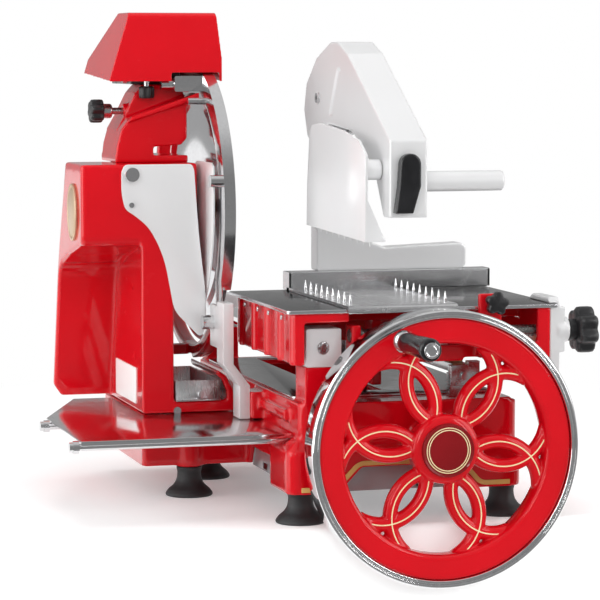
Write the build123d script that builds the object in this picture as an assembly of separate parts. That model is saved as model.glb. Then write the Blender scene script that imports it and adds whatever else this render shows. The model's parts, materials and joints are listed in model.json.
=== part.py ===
"""Flywheel deli slicer: hand-driven, with a reciprocating meat carriage, round blade and built-in sharpener.

Frame: X to the operator's right (feed direction, towards the blade is -X), Y away from the operator
(carriage travel and flywheel axis), Z up. Origin: centre of the front-left foot's contact face.
All lengths are millimetres.
"""

from build123d import *
import os
from math import cos, hypot, pi, radians, sin

os.makedirs("parts", exist_ok=True)

# ---- driving dimensions -------------------------------------------------------------------------
BLADE_D = 319.0
BLADE_PLANE_X = -35.0  # meat-side face of the blade
BLADE_Y, BLADE_Z = 318.0, 329.0  # blade axis
BLADE_T = 4.0
WHEEL_X, WHEEL_Z = 139.5, 86.0  # flywheel axis
WHEEL_R = 151.0
WHEEL_FRONT_Y = -88.0
WHEEL_WIDTH = 34.0
FOOT_H = 34.0
FEET = [(0, 0), (231, -5), (-74, 213), (-22, 337), (205, 402)]
BASE_X0, BASE_X1 = -6.0, 238.0
BASE_Y0, BASE_Y1 = -20.0, 446.0
BASE_TOP = 132.0
WALL = 6.0
TABLE_TOP = 236.0
TABLE_X0, TABLE_X1 = -26.0, 284.0
TABLE_Y0, TABLE_Y1 = -42.0, 215.0
ROD_X, ROD_Z, ROD_R = 20.0, 193.0, 10.0
RAIL_X = 186.0  # centre of the right-hand support rail
TOWER_FRONT_Y = 205.0
TOWER_TOP = 384.0
TOWER_X0, TOWER_X1 = -130.0, -58.0
WING_X0 = -200.0
TRAY_Z = 97.0
CROSS_Y, CROSS_Z = 266.0, 86.0  # cross shaft axis
CHAIN_X = -111.0
FEED_Y, FEED_Z = -24.0, 206.0  # feed screw axis
PLATE_X0, PLATE_X1 = 40.0, 164.0
RAIL_TOP = 258.0
ARM_X0, ARM_X1 = 76.0, 118.0
ARM_PIVOT_Y, ARM_PIVOT_Z = 195.0, 459.0
PRESS_X = 56.0
PRESS_PIVOT_Y, PRESS_PIVOT_Z = -44.0, 386.0
HOOD_Y0, HOOD_Y1 = 250.0, 412.0
HOOD_TOP = 557.0
HOOD_HINGE_Y, HOOD_HINGE_Z = 405.0, 492.0
RUNNING = 0.05  # radial running clearance
BEVEL_TEETH = 16
BEVEL_PITCH_R = 26.0
PLINTH_Y1 = 62.0
LEFT_BOX_X0 = -130.0
BEARING_R = 16.0
POST_Y0, POST_Y1 = 132.0, 162.0
ROCKER_X, ROCKER_Y, ROCKER_Z = 92.0, 150.0, 52.0  # rocker arm's pivot
ROCKER_L, ROCKER_LEAN = 114.0, 38.0
GRIND_Y, GRIND_Z = 318.0, 482.0  # grinding stone's axis
SHARP_X, SHARP_Y = -108.0, 276.0  # honing knob's axis
LOCK_X, LOCK_Z = -155.0, 443.0  # locking knob
RING_R, RING_IN = 171.0, 163.0
BIG_SPROCKET_TEETH, SMALL_SPROCKET_TEETH = 45, 15
CHAIN_PITCH = 6.35
CRANK_R, CRANK_X = 34.0, 66.0
PETALS = 6
RIM_IN, TYRE_IN, HUB_R = 115.0, 142.0, 38.0
PETAL_CX, PETAL_CT, PETAL_R = 65.0, 36.5, 50.0  # centre of a petal's arc, along and across, and its radius
PETAL_PHASE = 53.0
RIB_R = 8.3
GRIP_R, GRIP_ANGLE = 128.0, 112.4
CAR_X0, CAR_X1 = -17.0, 275.0
CAR_Y0, CAR_Y1 = -38.0, 209.0
CAR_Z0, CAR_Z1 = 176.0, 232.0
SET_X, SET_Z = 204.0, 240.0  # thickness knob
PLATE_THICK = 3.5
SPIKES = 9
SPIKE_Y0, SPIKE_STEP = -28.0, 22.0
LEVER_X = 96.0
TRAY_X0, TRAY_X1 = -242.0, -8.0
TRAY_Y0, TRAY_Y1 = 6.0, 201.0
TRAY_BACK_Y = 366.0  # close to the foot of the tower's rear panel
TRAY_RODS = ((16.0, -8.0), (188.0, -16.0))  # y of each rod under the tray, and where it meets the base

# ---- sizes that follow from them ----------------------------------------------------------------
BLADE_R = BLADE_D / 2
BIG_SPROCKET_R = BIG_SPROCKET_TEETH * CHAIN_PITCH / (2 * pi)
SMALL_SPROCKET_R = SMALL_SPROCKET_TEETH * CHAIN_PITCH / (2 * pi)
GRIP_X = WHEEL_X + GRIP_R * cos(radians(GRIP_ANGLE))
GRIP_Z = WHEEL_Z + GRIP_R * sin(radians(GRIP_ANGLE))
PLATE_Z0 = TABLE_TOP + 0.5
PLATE_Z1 = PLATE_Z0 + PLATE_THICK


# ---- small builders -----------------------------------------------------------------------------
def box(x0, x1, y0, y1, z0, z1):
    """Axis-aligned block between two corners."""
    return Pos((x0 + x1) / 2, (y0 + y1) / 2, (z0 + z1) / 2) * Box(x1 - x0, y1 - y0, z1 - z0)


def rod_x(y, z, r, x0, x1):
    """Cylinder along X."""
    return Pos((x0 + x1) / 2, y, z) * Rot(0, 90, 0) * Cylinder(r, x1 - x0)


def rod_y(x, z, r, y0, y1):
    """Cylinder along Y."""
    return Pos(x, (y0 + y1) / 2, z) * Rot(90, 0, 0) * Cylinder(r, y1 - y0)


def rod_z(x, y, r, z0, z1):
    """Cylinder along Z."""
    return Pos(x, y, (z0 + z1) / 2) * Cylinder(r, z1 - z0)


def prism_x(points, x0, x1):
    """Polygon of (y, z) points pushed along X."""
    face = Plane.YZ.offset(x0) * make_face(Polyline(*points, close=True))
    return extrude(face, x1 - x0)


def prism_y(points, y0, y1):
    """Polygon of (x, z) points pushed along Y."""
    flat = [(x, -z) for x, z in points]
    plane = Plane(origin=(0, y0, 0), x_dir=(1, 0, 0), z_dir=(0, 1, 0))
    return extrude(plane * make_face(Polyline(*flat, close=True)), y1 - y0)


def prism_z(points, z0, z1):
    """Polygon of (x, y) points pushed along Z."""
    face = Plane.XY.offset(z0) * make_face(Polyline(*points, close=True))
    return extrude(face, z1 - z0)


def turned_x(profile, y, z):
    """Solid of revolution about the X line through (y, z); profile holds (x, radius) points."""
    face = make_face(Polyline(*profile, close=True))
    return Pos(0, y, z) * revolve(face, Axis.X, 360)


def turned_y(profile, x, z):
    """Solid of revolution about the Y line through (x, z); profile holds (radius, y) points."""
    face = make_face(Polyline(*profile, close=True))
    return Pos(x, 0, z) * revolve(face, Axis.Y, 360)


def turned_z(profile, x, y):
    """Solid of revolution about the Z line through (x, y); profile holds (radius, z) points."""
    face = Plane.XZ * make_face(Polyline(*profile, close=True))
    return Pos(x, y, 0) * revolve(face, Axis.Z, 360)


def fuse(*shapes):
    """One solid from several touching ones."""
    whole = shapes[0]
    for piece in shapes[1:]:
        whole = whole + piece
    return whole


def rounded(shape, radius, axis, low=None, high=None):
    """Rounds the edges that run along an axis: all, or those whose centres lie between low and high."""
    edges = shape.edges().filter_by(axis)
    if low is not None:
        edges = [e for e in edges if all(low[i] <= tuple(e.center())[i] <= high[i] for i in range(3))]
    return fillet(edges, radius)


def lobed_knob(lobes, r_outer, r_lobe, length):
    """Lobed hand knob standing along +Z from z = 0."""
    core = Cylinder(r_outer - r_lobe * 0.55, length, align=(Align.CENTER, Align.CENTER, Align.MIN))
    for k in range(lobes):
        a = 2 * pi * k / lobes
        reach = r_outer - r_lobe
        lobe = Cylinder(r_lobe, length, align=(Align.CENTER, Align.CENTER, Align.MIN))
        core = core + Pos(reach * cos(a), reach * sin(a), 0) * lobe
    return core


def save(name, shape):
    """Writes one node, keeping only its solids."""
    solids = shape.solids() if not isinstance(shape, list) else [s for p in shape for s in p.solids()]
    part = solids[0] if len(solids) == 1 else Compound(children=list(solids))
    export_step(part, f"parts/{name}.step")


# ---- base ---------------------------------------------------------------------------------------
def base_casting():
    body = box(BASE_X0, BASE_X1, BASE_Y0, BASE_Y1, FOOT_H + 2, BASE_TOP)
    body = rounded(body, 10, Axis.Z)
    plinth = box(BASE_X0 - 15, BASE_X1 + 10, BASE_Y0 - 8, PLINTH_Y1, FOOT_H, 92)
    plinth = rounded(plinth, 14, Axis.Z)
    top = plinth.faces().sort_by(Axis.Z)[-1]
    plinth = chamfer(top.edges(), 12)
    left = box(LEFT_BOX_X0, BASE_X0 + 10, TOWER_FRONT_Y, 425, FOOT_H + 2, TRAY_Z - 1)
    left = rounded(left, 6, Axis.Z)
    post_boss = rounded(box(-22, BASE_X0 + 2, POST_Y0 - 4, POST_Y1 + 4, TRAY_Z + 0.5, 128), 3, Axis.Z)
    ledge = box(BASE_X0 - 7, BASE_X0 + 2, 20, TOWER_FRONT_Y - 1, 110, 121)
    rear_plinth = rounded(box(BASE_X0, BASE_X1 + 4, 350, BASE_Y1 + 4, FOOT_H, 92), 12, Axis.Z)
    front_column = box(0, 40, BASE_Y0, 20, BASE_TOP - 2, ROD_Z - 21)
    rear_column = box(0, 40, BASE_Y1 - 22, BASE_Y1, BASE_TOP - 2, ROD_Z - 21)
    outside = fuse(body, plinth, left, rear_plinth, front_column, rear_column, post_boss, ledge)

    inside = box(BASE_X0 + WALL, BASE_X1 - WALL, BASE_Y0 + WALL, BASE_Y1 - WALL, FOOT_H - 1, BASE_TOP - WALL)
    left_inside = box(LEFT_BOX_X0 + WALL, BASE_X0 + WALL + 1, TOWER_FRONT_Y + WALL, 419,
                      FOOT_H - 1, TRAY_Z - 1 - WALL)
    body = outside - inside - left_inside
    # arched lower edge between the feet, front and left side
    arch = prism_y([(36, FOOT_H - 1), (62, 62), (170, 62), (194, FOOT_H - 1)], BASE_Y0 - 9, BASE_Y0 + WALL)
    side_arch = prism_x([(70, FOOT_H - 1), (92, 58), (TOWER_FRONT_Y - 14, 58),
                         (TOWER_FRONT_Y - 2, FOOT_H - 1)], BASE_X0 - 1, BASE_X0 + WALL)
    # top opening that the rocker arm and the crank swing through
    slot = box(56, 116, 60, 410, BASE_TOP - WALL - 1, BASE_TOP + 1)
    body = body - arch - side_arch - slot
    # passage for the cross shaft and chain up into the tower
    body = body - box(CHAIN_X - 12, CHAIN_X + 12, 212, 372, TRAY_Z - 8, TRAY_Z)
    # pads over the feet
    for x, y in FEET:
        roof = BASE_TOP - 3 if x > BASE_X0 + 10 else 90
        body = body + rod_z(x, y, 15, FOOT_H, roof)
    # bearing housings for the flywheel shaft and the cross shaft
    body = body + rod_y(WHEEL_X, WHEEL_Z, BEARING_R + 8, BASE_Y0 - 10, 8)
    body = body + box(WHEEL_X - 9, WHEEL_X + 9, 150, 172, FOOT_H + 2, WHEEL_Z)
    body = body + rod_y(WHEEL_X, WHEEL_Z, BEARING_R + 6, 150, 172)
    body = body + box(WHEEL_X - 9, WHEEL_X + 9, -18, 172, FOOT_H + 2, FOOT_H + 8)
    body = body + rod_x(CROSS_Y, CROSS_Z, BEARING_R + 6, LEFT_BOX_X0 + WALL - 1, LEFT_BOX_X0 + 14)
    body = body + box(28, 44, CROSS_Y - 10, CROSS_Y + 10, CROSS_Z, BASE_TOP - 3)
    body = body + rod_x(CROSS_Y, CROSS_Z, BEARING_R + 6, 28, 44)
    for y0, y1 in ((BASE_Y0 - 11, 9), (149, 173)):
        body = body - rod_y(WHEEL_X, WHEEL_Z, BEARING_R, y0, y1)
    body = body - rod_x(CROSS_Y, CROSS_Z, BEARING_R, LEFT_BOX_X0 + WALL, 45)
    # pivot lugs of the rocker arm, on the base floor beam
    for x in (ROCKER_X - 12, ROCKER_X + 8):
        body = body + box(x, x + 4, ROCKER_Y - 9, ROCKER_Y + 9, FOOT_H + 2, ROCKER_Z + 8)
    body = body + box(ROCKER_X - 12, BASE_X1 - WALL + 1, ROCKER_Y - 9, ROCKER_Y + 9, FOOT_H + 2, FOOT_H + 8)
    body = body - rod_x(ROCKER_Y, ROCKER_Z, 5, ROCKER_X - 13, ROCKER_X + 13)
    body = body - rod_x(16, TRAY_Z - 7.2, 4.2, -30, -8)
    # stud holes of the feet
    for x, y in FEET:
        body = body - rod_z(x, y, 4, FOOT_H - 1, FOOT_H + 16)
    return body


def base_top_plate():
    plate = box(BASE_X0 + 5, BASE_X1 - 5, 26, BASE_Y1 - 28, BASE_TOP, BASE_TOP + 2.5)
    plate = rounded(plate, 8, Axis.Z)
    return plate - box(58, 114, 62, 408, BASE_TOP - 1, BASE_TOP + 4)


def bottom_pan():
    outer = box(22, 214, BASE_Y0 + 9, BASE_Y0 + 11, FOOT_H + 1, 61.5)
    floor = box(22, 214, BASE_Y0 + 9, 395, FOOT_H - 0.5, FOOT_H + 1)
    left = box(BASE_X0 + WALL + 0.5, BASE_X0 + WALL + 2, 66, TOWER_FRONT_Y - 1, FOOT_H - 0.5, 60)
    left = left + box(BASE_X0 + WALL + 0.5, 24, 66, TOWER_FRONT_Y - 1, FOOT_H - 0.5, FOOT_H + 1)
    pan = fuse(outer, floor, left)
    pan = pan - box(WHEEL_X - 10, WHEEL_X + 10, BASE_Y0 + 8, BASE_Y0 + 12, FOOT_H + 1.5, FOOT_H + 9)
    pan = pan - box(-1, 4, ROCKER_Y - 10, ROCKER_Y + 10, FOOT_H + 1.5, FOOT_H + 9)
    for x, y in FEET:
        pan = pan - rod_z(x, y, 16, 30, 70)
    return pan


def rubber_feet():
    feet = []
    for x, y in FEET:
        profile = [(0, 0), (27.5, 0), (27.5, 3), (23, 9), (16.5, 14), (13.5, 20), (13.5, FOOT_H), (0, FOOT_H)]
        foot = turned_z(profile, x, y)
        feet.append(foot - rod_z(x, y, 4, 14, FOOT_H + 1))
    return feet


def foot_studs():
    return [rod_z(x, y, 4, 14, FOOT_H + 16) for x, y in FEET]


# ---- tower and sharpener ------------------------------------------------------------------------
def tower_casting():
    back = [(TOWER_FRONT_Y, TRAY_Z), (428, TRAY_Z), (428, 150), (372, TOWER_TOP), (TOWER_FRONT_Y, TOWER_TOP)]
    wall = prism_x(back, TOWER_X0, -93)
    # spindle housing standing right of the wall, behind the slice deflector
    housing = prism_x([(245, 250), (412, 250), (372, TOWER_TOP), (232, TOWER_TOP), (232, 300)], -94, TOWER_X1)
    # front shoulder that the deflector rests on
    shoulder = prism_y([(-131, 300), (-115, 312), (-98, 336), (-84, TOWER_TOP), (-131, TOWER_TOP)],
                       TOWER_FRONT_Y, 240)
    shoulder = shoulder + box(-131, -84, TOWER_FRONT_Y, 240, 360, TOWER_TOP)
    # block with a rolled lower edge, drawn down behind the scoop into a thin sloping panel
    wing_side = [(TOWER_FRONT_Y, 292), (TOWER_FRONT_Y, TOWER_TOP), (302, TOWER_TOP), (345, 286), (358, 252),
                 (392, 116), (392, TRAY_Z + 2), (384, TRAY_Z + 2), (347, 246), (343, 255), (334, 262),
                 (292, 275), (222, 290)]
    wing = prism_x(wing_side, WING_X0, TOWER_X0 + 1)
    wing = rounded(wing, 11, Axis.X, (WING_X0, TOWER_FRONT_Y - 1, 291), (TOWER_X0 + 1, TOWER_FRONT_Y + 1, 293))
    wing = wing - prism_y([(WING_X0 - 1, TRAY_Z), (WING_X0 + 11, TRAY_Z), (WING_X0 - 1, 114)], 330, 400)
    floor = box(-94, -22, TOWER_FRONT_Y, 400, TRAY_Z, 110)
    cheek = prism_y([(-30, 108), (-22, 108), (-22, 120), (-30, 138), (-42, 146), (-42, 139), (-36, 134),
                     (-30, 120)], TOWER_FRONT_Y, 340)
    body = fuse(wall, housing, shoulder, wing, floor, cheek)
    corner = ((WING_X0 - 1, TOWER_FRONT_Y - 1, 280), (WING_X0 + 1, TOWER_FRONT_Y + 1, 400))
    body = rounded(body, 5, Axis.Z, *corner)
    # chain space
    chain = prism_x([(212, TRAY_Z - 1), (372, TRAY_Z - 1), (376, 340), (356, 372), (280, 372), (252, 300),
                     (212, 120)], CHAIN_X - 12, CHAIN_X + 12)
    body = body - chain
    body = body - rod_x(BLADE_Y, BLADE_Z, BEARING_R, -124, TOWER_X1 + 1)
    body = body - rod_x(CROSS_Y, CROSS_Z, BEARING_R + 6.5, LEFT_BOX_X0 + WALL - 1.2, LEFT_BOX_X0 + 15)
    return body


def neck_casting():
    outline = [(-148, TOWER_TOP), (-146, 404), (-141, 422), (-131, 436), (-50, 465), (-53, 455), (-63, 448),
               (-63, 412), (-70, 404), (-103, 402), (-103, TOWER_TOP)]
    neck = prism_y(outline, 262, 345)
    ledge = prism_y([(-134, 431), (-130, 437), (-50, 465), (-50, 458)], 254, 270)
    boss = rod_x(300, LOCK_Z, 9, -132, -92)
    foot = box(-148, -62, 262, 345, TOWER_TOP, TOWER_TOP + 8)
    # taller part behind the ledge, up to the sharpener's carrier
    head = prism_y([(-142, 421), (-131, 440), (-119, 464), (-110, 474), (-62, 474), (-62, 440)], 285, 345)
    neck = fuse(neck, ledge, boss, foot, head)
    return neck - rod_x(300, LOCK_Z, 4, -150, -100)


def hood_section(inset):
    """The hood's side outline, pulled in by its wall."""
    i = inset
    return [(HOOD_Y0 + i, 478), (HOOD_Y0 + i, HOOD_TOP - i), (312 - i * 0.3, HOOD_TOP - i),
            (HOOD_Y1 - i, 503 - i * 0.6), (HOOD_Y1 - i, 486)]


def sharpener_hood():
    """Hollow cover with a slanted left end and a drafted right end, open underneath."""
    skin = 3.0
    outer = prism_x(hood_section(0), -170, -20)
    left_cut = prism_y([(-171, 470), (-160, 470), (-133, 560), (-171, 560)], 200, 450)
    right_cut = prism_y([(-24, 470), (-24, 506), (-31, 560), (-19, 560), (-19, 470)], 200, 450)
    shell = outer - left_cut - right_cut
    shell = fillet(shell.edges().filter_by(Axis.X).group_by(Axis.Z)[-1], 7)
    inner = prism_x(hood_section(skin), -170, -20)
    inner = inner + box(-170, -20, HOOD_Y0 + skin, HOOD_Y1 - skin, 470, 500)
    left_in = prism_y([(-171, 460), (-160 + skin, 460), (-133 + skin, 562), (-171, 562)], 200, 450)
    right_in = prism_y([(-24 - skin, 460), (-24 - skin, 506), (-31 - skin, 562), (-19, 562), (-19, 460)],
                       200, 450)
    inner = inner - left_in - right_in
    shell = shell - inner
    # front edge is raised over the ring and its block
    shell = shell - box(-84, -24 - skin, HOOD_Y0 - 1, HOOD_Y0 + skin + 1, 470, 488)
    # knuckles of the rear hinge
    for x in (-140, -70):
        knuckle = rod_x(HOOD_HINGE_Y, HOOD_HINGE_Z, 5, x, x + 16)
        shell = shell + (knuckle - box(x - 1, x + 17, 380, 396, 480, 500))
    return shell - rod_x(HOOD_HINGE_Y, HOOD_HINGE_Z, 2.5 + RUNNING, -150, -40)


def sharpener_body():
    """Carrier block, with the ears that hold the hood's hinge pin."""
    block = box(-122, -62, 300, 345, 474, 492) + box(-112, -72, 285, 345, 492, 528)
    tail = box(-122, -108, 340, 396, 474, 486)
    ear = rod_x(HOOD_HINGE_Y, HOOD_HINGE_Z, 3.8, -123, -108) + box(-123, -108, 380, 402, 474, 492)
    body = fuse(block, tail, ear)
    lug = box(-116, -100, 268, 302, 486, 500)
    body = body + lug - rod_z(SHARP_X, SHARP_Y, 3 + RUNNING, 480, 505)
    body = body - rod_x(HOOD_HINGE_Y, HOOD_HINGE_Z, 2.5, -150, -40)
    return body - rod_x(GRIND_Y, GRIND_Z, 4 + RUNNING, -130, -60)


def hood_hinge_pin():
    return rod_x(HOOD_HINGE_Y, HOOD_HINGE_Z, 2.5, -146, -48)


def grinding_stone():
    """Abrasive cup just off the blade's bevel."""
    cup = turned_x([(-60, 0), (-60, 13.5), (-41.5, 13.5), (-41.5, 8), (-46, 8), (-46, 0)], GRIND_Y, GRIND_Z)
    return cup


def stone_spindle():
    """Spindle and hex nut that carry the grinding stone."""
    return rod_x(GRIND_Y, GRIND_Z, 4, -128, -60) + rod_x(GRIND_Y, GRIND_Z, 7, -128, -123)


def sharpener_knob():
    """Black adjusting knob under the hood, turning on its screw in the carrier's lug."""
    knob = Pos(SHARP_X, SHARP_Y, 458) * lobed_knob(6, 9, 4, 14)
    return fuse(knob, rod_z(SHARP_X, SHARP_Y, 3, 471, 503))


def lock_knob():
    """Lobed knob that clamps the sharpener, turning on its own stem."""
    knob = Pos(LOCK_X, 300, LOCK_Z) * Rot(0, -90, 0) * lobed_knob(6, 14, 5, 16)
    collar = rod_x(300, LOCK_Z, 8, LOCK_X - 2, LOCK_X + 10)
    return fuse(knob, collar, rod_x(300, LOCK_Z, 4 - RUNNING, LOCK_X + 9, -101))


# ---- blade group --------------------------------------------------------------------------------
def arc_sector(r0, r1, x0, x1, a0, a1):
    """Part of a ring about the blade axis, from angle a0 to a1 in degrees; 0 points to +Y, 90 up."""
    ring = rod_x(BLADE_Y, BLADE_Z, r1, x0, x1) - rod_x(BLADE_Y, BLADE_Z, r0, x0 - 1, x1 + 1)
    reach = r1 * 1.6
    steps = 6
    points = [(BLADE_Y, BLADE_Z)]
    for k in range(steps + 1):
        a = radians(a0 + (a1 - a0) * k / steps)
        points.append((BLADE_Y + reach * cos(a), BLADE_Z + reach * sin(a)))
    return ring & prism_x(points, x0 - 2, x1 + 2)


def guard_ring():
    """Polished L-section guard round the front edge of the blade."""
    wall = arc_sector(RING_IN, RING_R, -47, -34, 98, 211)
    lip = arc_sector(146, RING_IN + 1, -47, -44.5, 98, 211)
    foot = box(-47, -44.5, 168, 192, 190, 250)
    block = rounded(box(-80, -46.5, 252, 276, 466, 484), 2, Axis.Y)
    return fuse(wall, lip, foot, block, rod_x(264, 475, 7, -94, -80))


def rear_guard():
    """Painted cast guard round the rear and bottom of the blade."""
    ring = arc_sector(164, 176, -50, -34, -100, 55)
    crescent = arc_sector(164, 180, -50, -34, -130, -96)
    stay = box(-93, -50, 318, 336, 152, 164)
    arm = box(-60, -50, 318, 336, 152, 164)
    return fuse(ring, crescent, stay, arm)


def guard_post():
    """Cranked stay that carries the ring's lower end, bolted to the base's side boss."""
    outline = [(-34, TRAY_Z + 0.5), (-22, TRAY_Z + 0.5), (-22, 135), (-41, 160),
               (-41, 229), (-53, 229), (-53, 160), (-34, 135)]
    post = prism_y(outline, POST_Y0, POST_Y1)
    ear = box(-53, -36, POST_Y1 - 2, POST_Y1 + 32, 176, 224)
    clear = box(-48, -33, POST_Y1 + 4, POST_Y1 + 33, 175, 225)
    post = fuse(post, ear - clear)
    return post - rod_x(POST_Y1 + 18, 204, 4, -54, -36)


def guard_knobs():
    """Thumb nut on the post and the two lifting knobs on the ring."""
    y = POST_Y1 + 18
    nut = rod_x(y, 204, 4, -62, -48) + rod_x(y, 204, 8, -66, -53)
    upper = rod_x(238, 455, 4, -68, -47)
    lower = rod_x(157, 366, 7, -62, -47)
    return [nut, upper, lower]


def blade():
    """Hollow-ground disc: bevel on the left, flat on the meat side."""
    x = BLADE_PLANE_X
    profile = [(x - BLADE_T, 22), (x - BLADE_T, 118), (x - 2.2, 128), (x - 2.2, 146), (x - 0.4, BLADE_R),
               (x, BLADE_R), (x, 128), (x - 0.8, 118), (x, 100), (x, 22)]
    disc = turned_x(profile, BLADE_Y, BLADE_Z)
    for k in range(4):
        a = radians(45 + 90 * k)
        disc = disc - rod_x(BLADE_Y + 32 * cos(a), BLADE_Z + 32 * sin(a), 3.5, x - 9, x + 1)
    return disc


def blade_spindle():
    """Flanged spindle; its nose centres the blade."""
    x = BLADE_PLANE_X
    flange = rod_x(BLADE_Y, BLADE_Z, 42, x - BLADE_T - 9, x - BLADE_T)
    nose = rod_x(BLADE_Y, BLADE_Z, 22, x - BLADE_T - 1, x - 0.5)
    shaft = rod_x(BLADE_Y, BLADE_Z, 8, -124, x - BLADE_T - 8)
    return fuse(flange, nose, shaft)


def blade_screws():
    x = BLADE_PLANE_X
    screws = []
    for k in range(4):
        a = radians(45 + 90 * k)
        screws.append(rod_x(BLADE_Y + 32 * cos(a), BLADE_Z + 32 * sin(a), 3.5, x - BLADE_T, x - 0.3))
    return screws


def blade_cover():
    """Flat cover plate in front of the blade's hub on the slice side, on two standoffs."""
    edge = [(270, 372), (264, 381), (250, 386), (182, 386), (174, 382), (172, 374), (172, 318), (176, 296),
            (186, 268), (203, 239), (228, 212), (250, 198), (270, 194)]
    plate = prism_x(edge, -54.5, -52.5)
    return fuse(plate, rod_x(258, 352, 6, TOWER_X1, -54.5), rod_x(258, 300, 6, TOWER_X1, -54.5))


def sprocket(teeth, pitch_r, x0, x1, y, z, bore):
    wheel = rod_x(y, z, pitch_r - 2.5, x0, x1)
    for k in range(teeth):
        a = 2 * pi * k / teeth
        low, high = pitch_r - 3.5, pitch_r + 1.5
        tip = prism_x([(low, -2.1), (high, -0.7), (high, 0.7), (low, 2.1)], x0, x1)
        wheel = wheel + Pos(0, y, z) * Rot(a * 180 / pi, 0, 0) * tip
    return wheel - rod_x(y, z, bore, x0 - 1, x1 + 1)


def spindle_sprocket():
    return sprocket(SMALL_SPROCKET_TEETH, SMALL_SPROCKET_R, CHAIN_X - 2, CHAIN_X + 2, BLADE_Y, BLADE_Z, 8)


def cross_sprocket():
    return sprocket(BIG_SPROCKET_TEETH, BIG_SPROCKET_R, CHAIN_X - 2, CHAIN_X + 2, CROSS_Y, CROSS_Z, 8)


def chain_loop(extra, half_width):
    """Outline swept by the chain round both sprockets, grown by extra."""
    big = rod_x(CROSS_Y, CROSS_Z, BIG_SPROCKET_R + extra, CHAIN_X - half_width, CHAIN_X + half_width)
    small = rod_x(BLADE_Y, BLADE_Z, SMALL_SPROCKET_R + extra, CHAIN_X - half_width, CHAIN_X + half_width)
    dy, dz = BLADE_Y - CROSS_Y, BLADE_Z - CROSS_Z
    span = hypot(dy, dz)
    uy, uz = dy / span, dz / span
    lean = (BIG_SPROCKET_R - SMALL_SPROCKET_R) / span
    side = (1 - lean * lean) ** 0.5
    corners = []
    for s in (1, -1):
        ny, nz = uy * lean - s * uz * side, uz * lean + s * uy * side
        rb, rs = BIG_SPROCKET_R + extra, SMALL_SPROCKET_R + extra
        pair = [(CROSS_Y + ny * rb, CROSS_Z + nz * rb), (BLADE_Y + ny * rs, BLADE_Z + nz * rs)]
        corners += pair if s == 1 else pair[::-1]
    straight = prism_x(corners, CHAIN_X - half_width, CHAIN_X + half_width)
    return fuse(big, small, straight)


def drive_chain():
    """Chain drawn as one closed band that clears the sprocket teeth."""
    return chain_loop(5.0, 3.2) - chain_loop(2.0, 4.5)


def bearing_x(y, z, x0, x1, r_out, r_in):
    """Plain bush for a shaft along X."""
    return rod_x(y, z, r_out, x0, x1) - rod_x(y, z, r_in + RUNNING, x0 - 1, x1 + 1)


def spindle_bearings():
    return [bearing_x(BLADE_Y, BLADE_Z, -98, -88, BEARING_R, 8),
            bearing_x(BLADE_Y, BLADE_Z, -70, TOWER_X1, BEARING_R, 8)]


# ---- drive --------------------------------------------------------------------------------------
def bevel_gear():
    """Mitre gear with its cone apex at the origin and its axis along +Z, teeth facing the apex."""
    r, z0, face = BEVEL_PITCH_R, -BEVEL_PITCH_R, 10.0
    inner = r - face * 0.7071
    root = 2.2
    blank = turned_z([(0, z0 - 8), (r - 1, z0 - 8), (r - root * 0.7, z0 - root * 0.7),
                      (inner - root * 0.7, -inner - root * 0.7), (0, -inner - root * 0.7)], 0, 0)
    teeth = []
    for k in range(BEVEL_TEETH):
        lines = []
        for rr in (r, inner):
            scale = rr / r
            half_root, half_tip = 1.9 * scale, 0.75 * scale
            low, high = 2.4 * scale, 1.7 * scale
            c = 0.7071
            root, tip = rr - low * c, rr + high * c
            root_z, tip_z = -rr - low * c, -rr + high * c
            lines.append([(root, half_root, root_z), (root, -half_root, root_z),
                          (tip, -half_tip, tip_z), (tip, half_tip, tip_z)])
        faces = [make_face(Polyline(*[Vector(*p) for p in ring], close=True)) for ring in lines]
        tooth = loft(faces)
        teeth.append(Rot(0, 0, 360 * k / BEVEL_TEETH) * tooth)
    return fuse(blank, *teeth)


def driving_bevel():
    """On the flywheel shaft, its apex on the cross shaft's axis."""
    turned = Rot(-90, 0, 0) * bevel_gear()
    gear = Pos(WHEEL_X, CROSS_Y, WHEEL_Z) * turned
    return gear - rod_y(WHEEL_X, WHEEL_Z, 9, CROSS_Y - 60, CROSS_Y)


def driven_bevel():
    turned = Rot(0, 90, 0) * Rot(0, 0, 180 / BEVEL_TEETH) * bevel_gear()
    gear = Pos(WHEEL_X, CROSS_Y, WHEEL_Z) * turned
    return gear - rod_x(CROSS_Y, CROSS_Z, 8, WHEEL_X - 60, WHEEL_X)


def flywheel_shaft():
    """Stepped shaft from the wheel's hub to the driving bevel gear."""
    return rod_y(WHEEL_X, WHEEL_Z, 9, WHEEL_FRONT_Y + 2, CROSS_Y - BEVEL_PITCH_R + 4)


def flywheel_bearings():
    rings = []
    for y0, y1 in ((BASE_Y0 - 10, 8), (150, 172)):
        bore = rod_y(WHEEL_X, WHEEL_Z, 9 + RUNNING, y0 - 1, y1 + 1)
        rings.append(rod_y(WHEEL_X, WHEEL_Z, BEARING_R, y0, y1) - bore)
    return rings


def cross_shaft():
    return rod_x(CROSS_Y, CROSS_Z, 8, LEFT_BOX_X0 + WALL + 0.5, WHEEL_X - BEVEL_PITCH_R + 3)


def cross_bearings():
    return [bearing_x(CROSS_Y, CROSS_Z, LEFT_BOX_X0 + WALL, LEFT_BOX_X0 + 14, BEARING_R, 8),
            bearing_x(CROSS_Y, CROSS_Z, 28, 44, BEARING_R, 8)]


def crank_disc():
    """Crank on the cross shaft; its pin stops short of the rocker's slot."""
    disc = rod_x(CROSS_Y, CROSS_Z, 40, CRANK_X, CRANK_X + 8)
    disc = disc - rod_x(CROSS_Y, CROSS_Z, 8, CRANK_X - 1, CRANK_X + 9)
    pin = rod_x(CROSS_Y, CROSS_Z + CRANK_R - 4, 5, CRANK_X + 7, CRANK_X + 15)
    return fuse(disc, pin)


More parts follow.
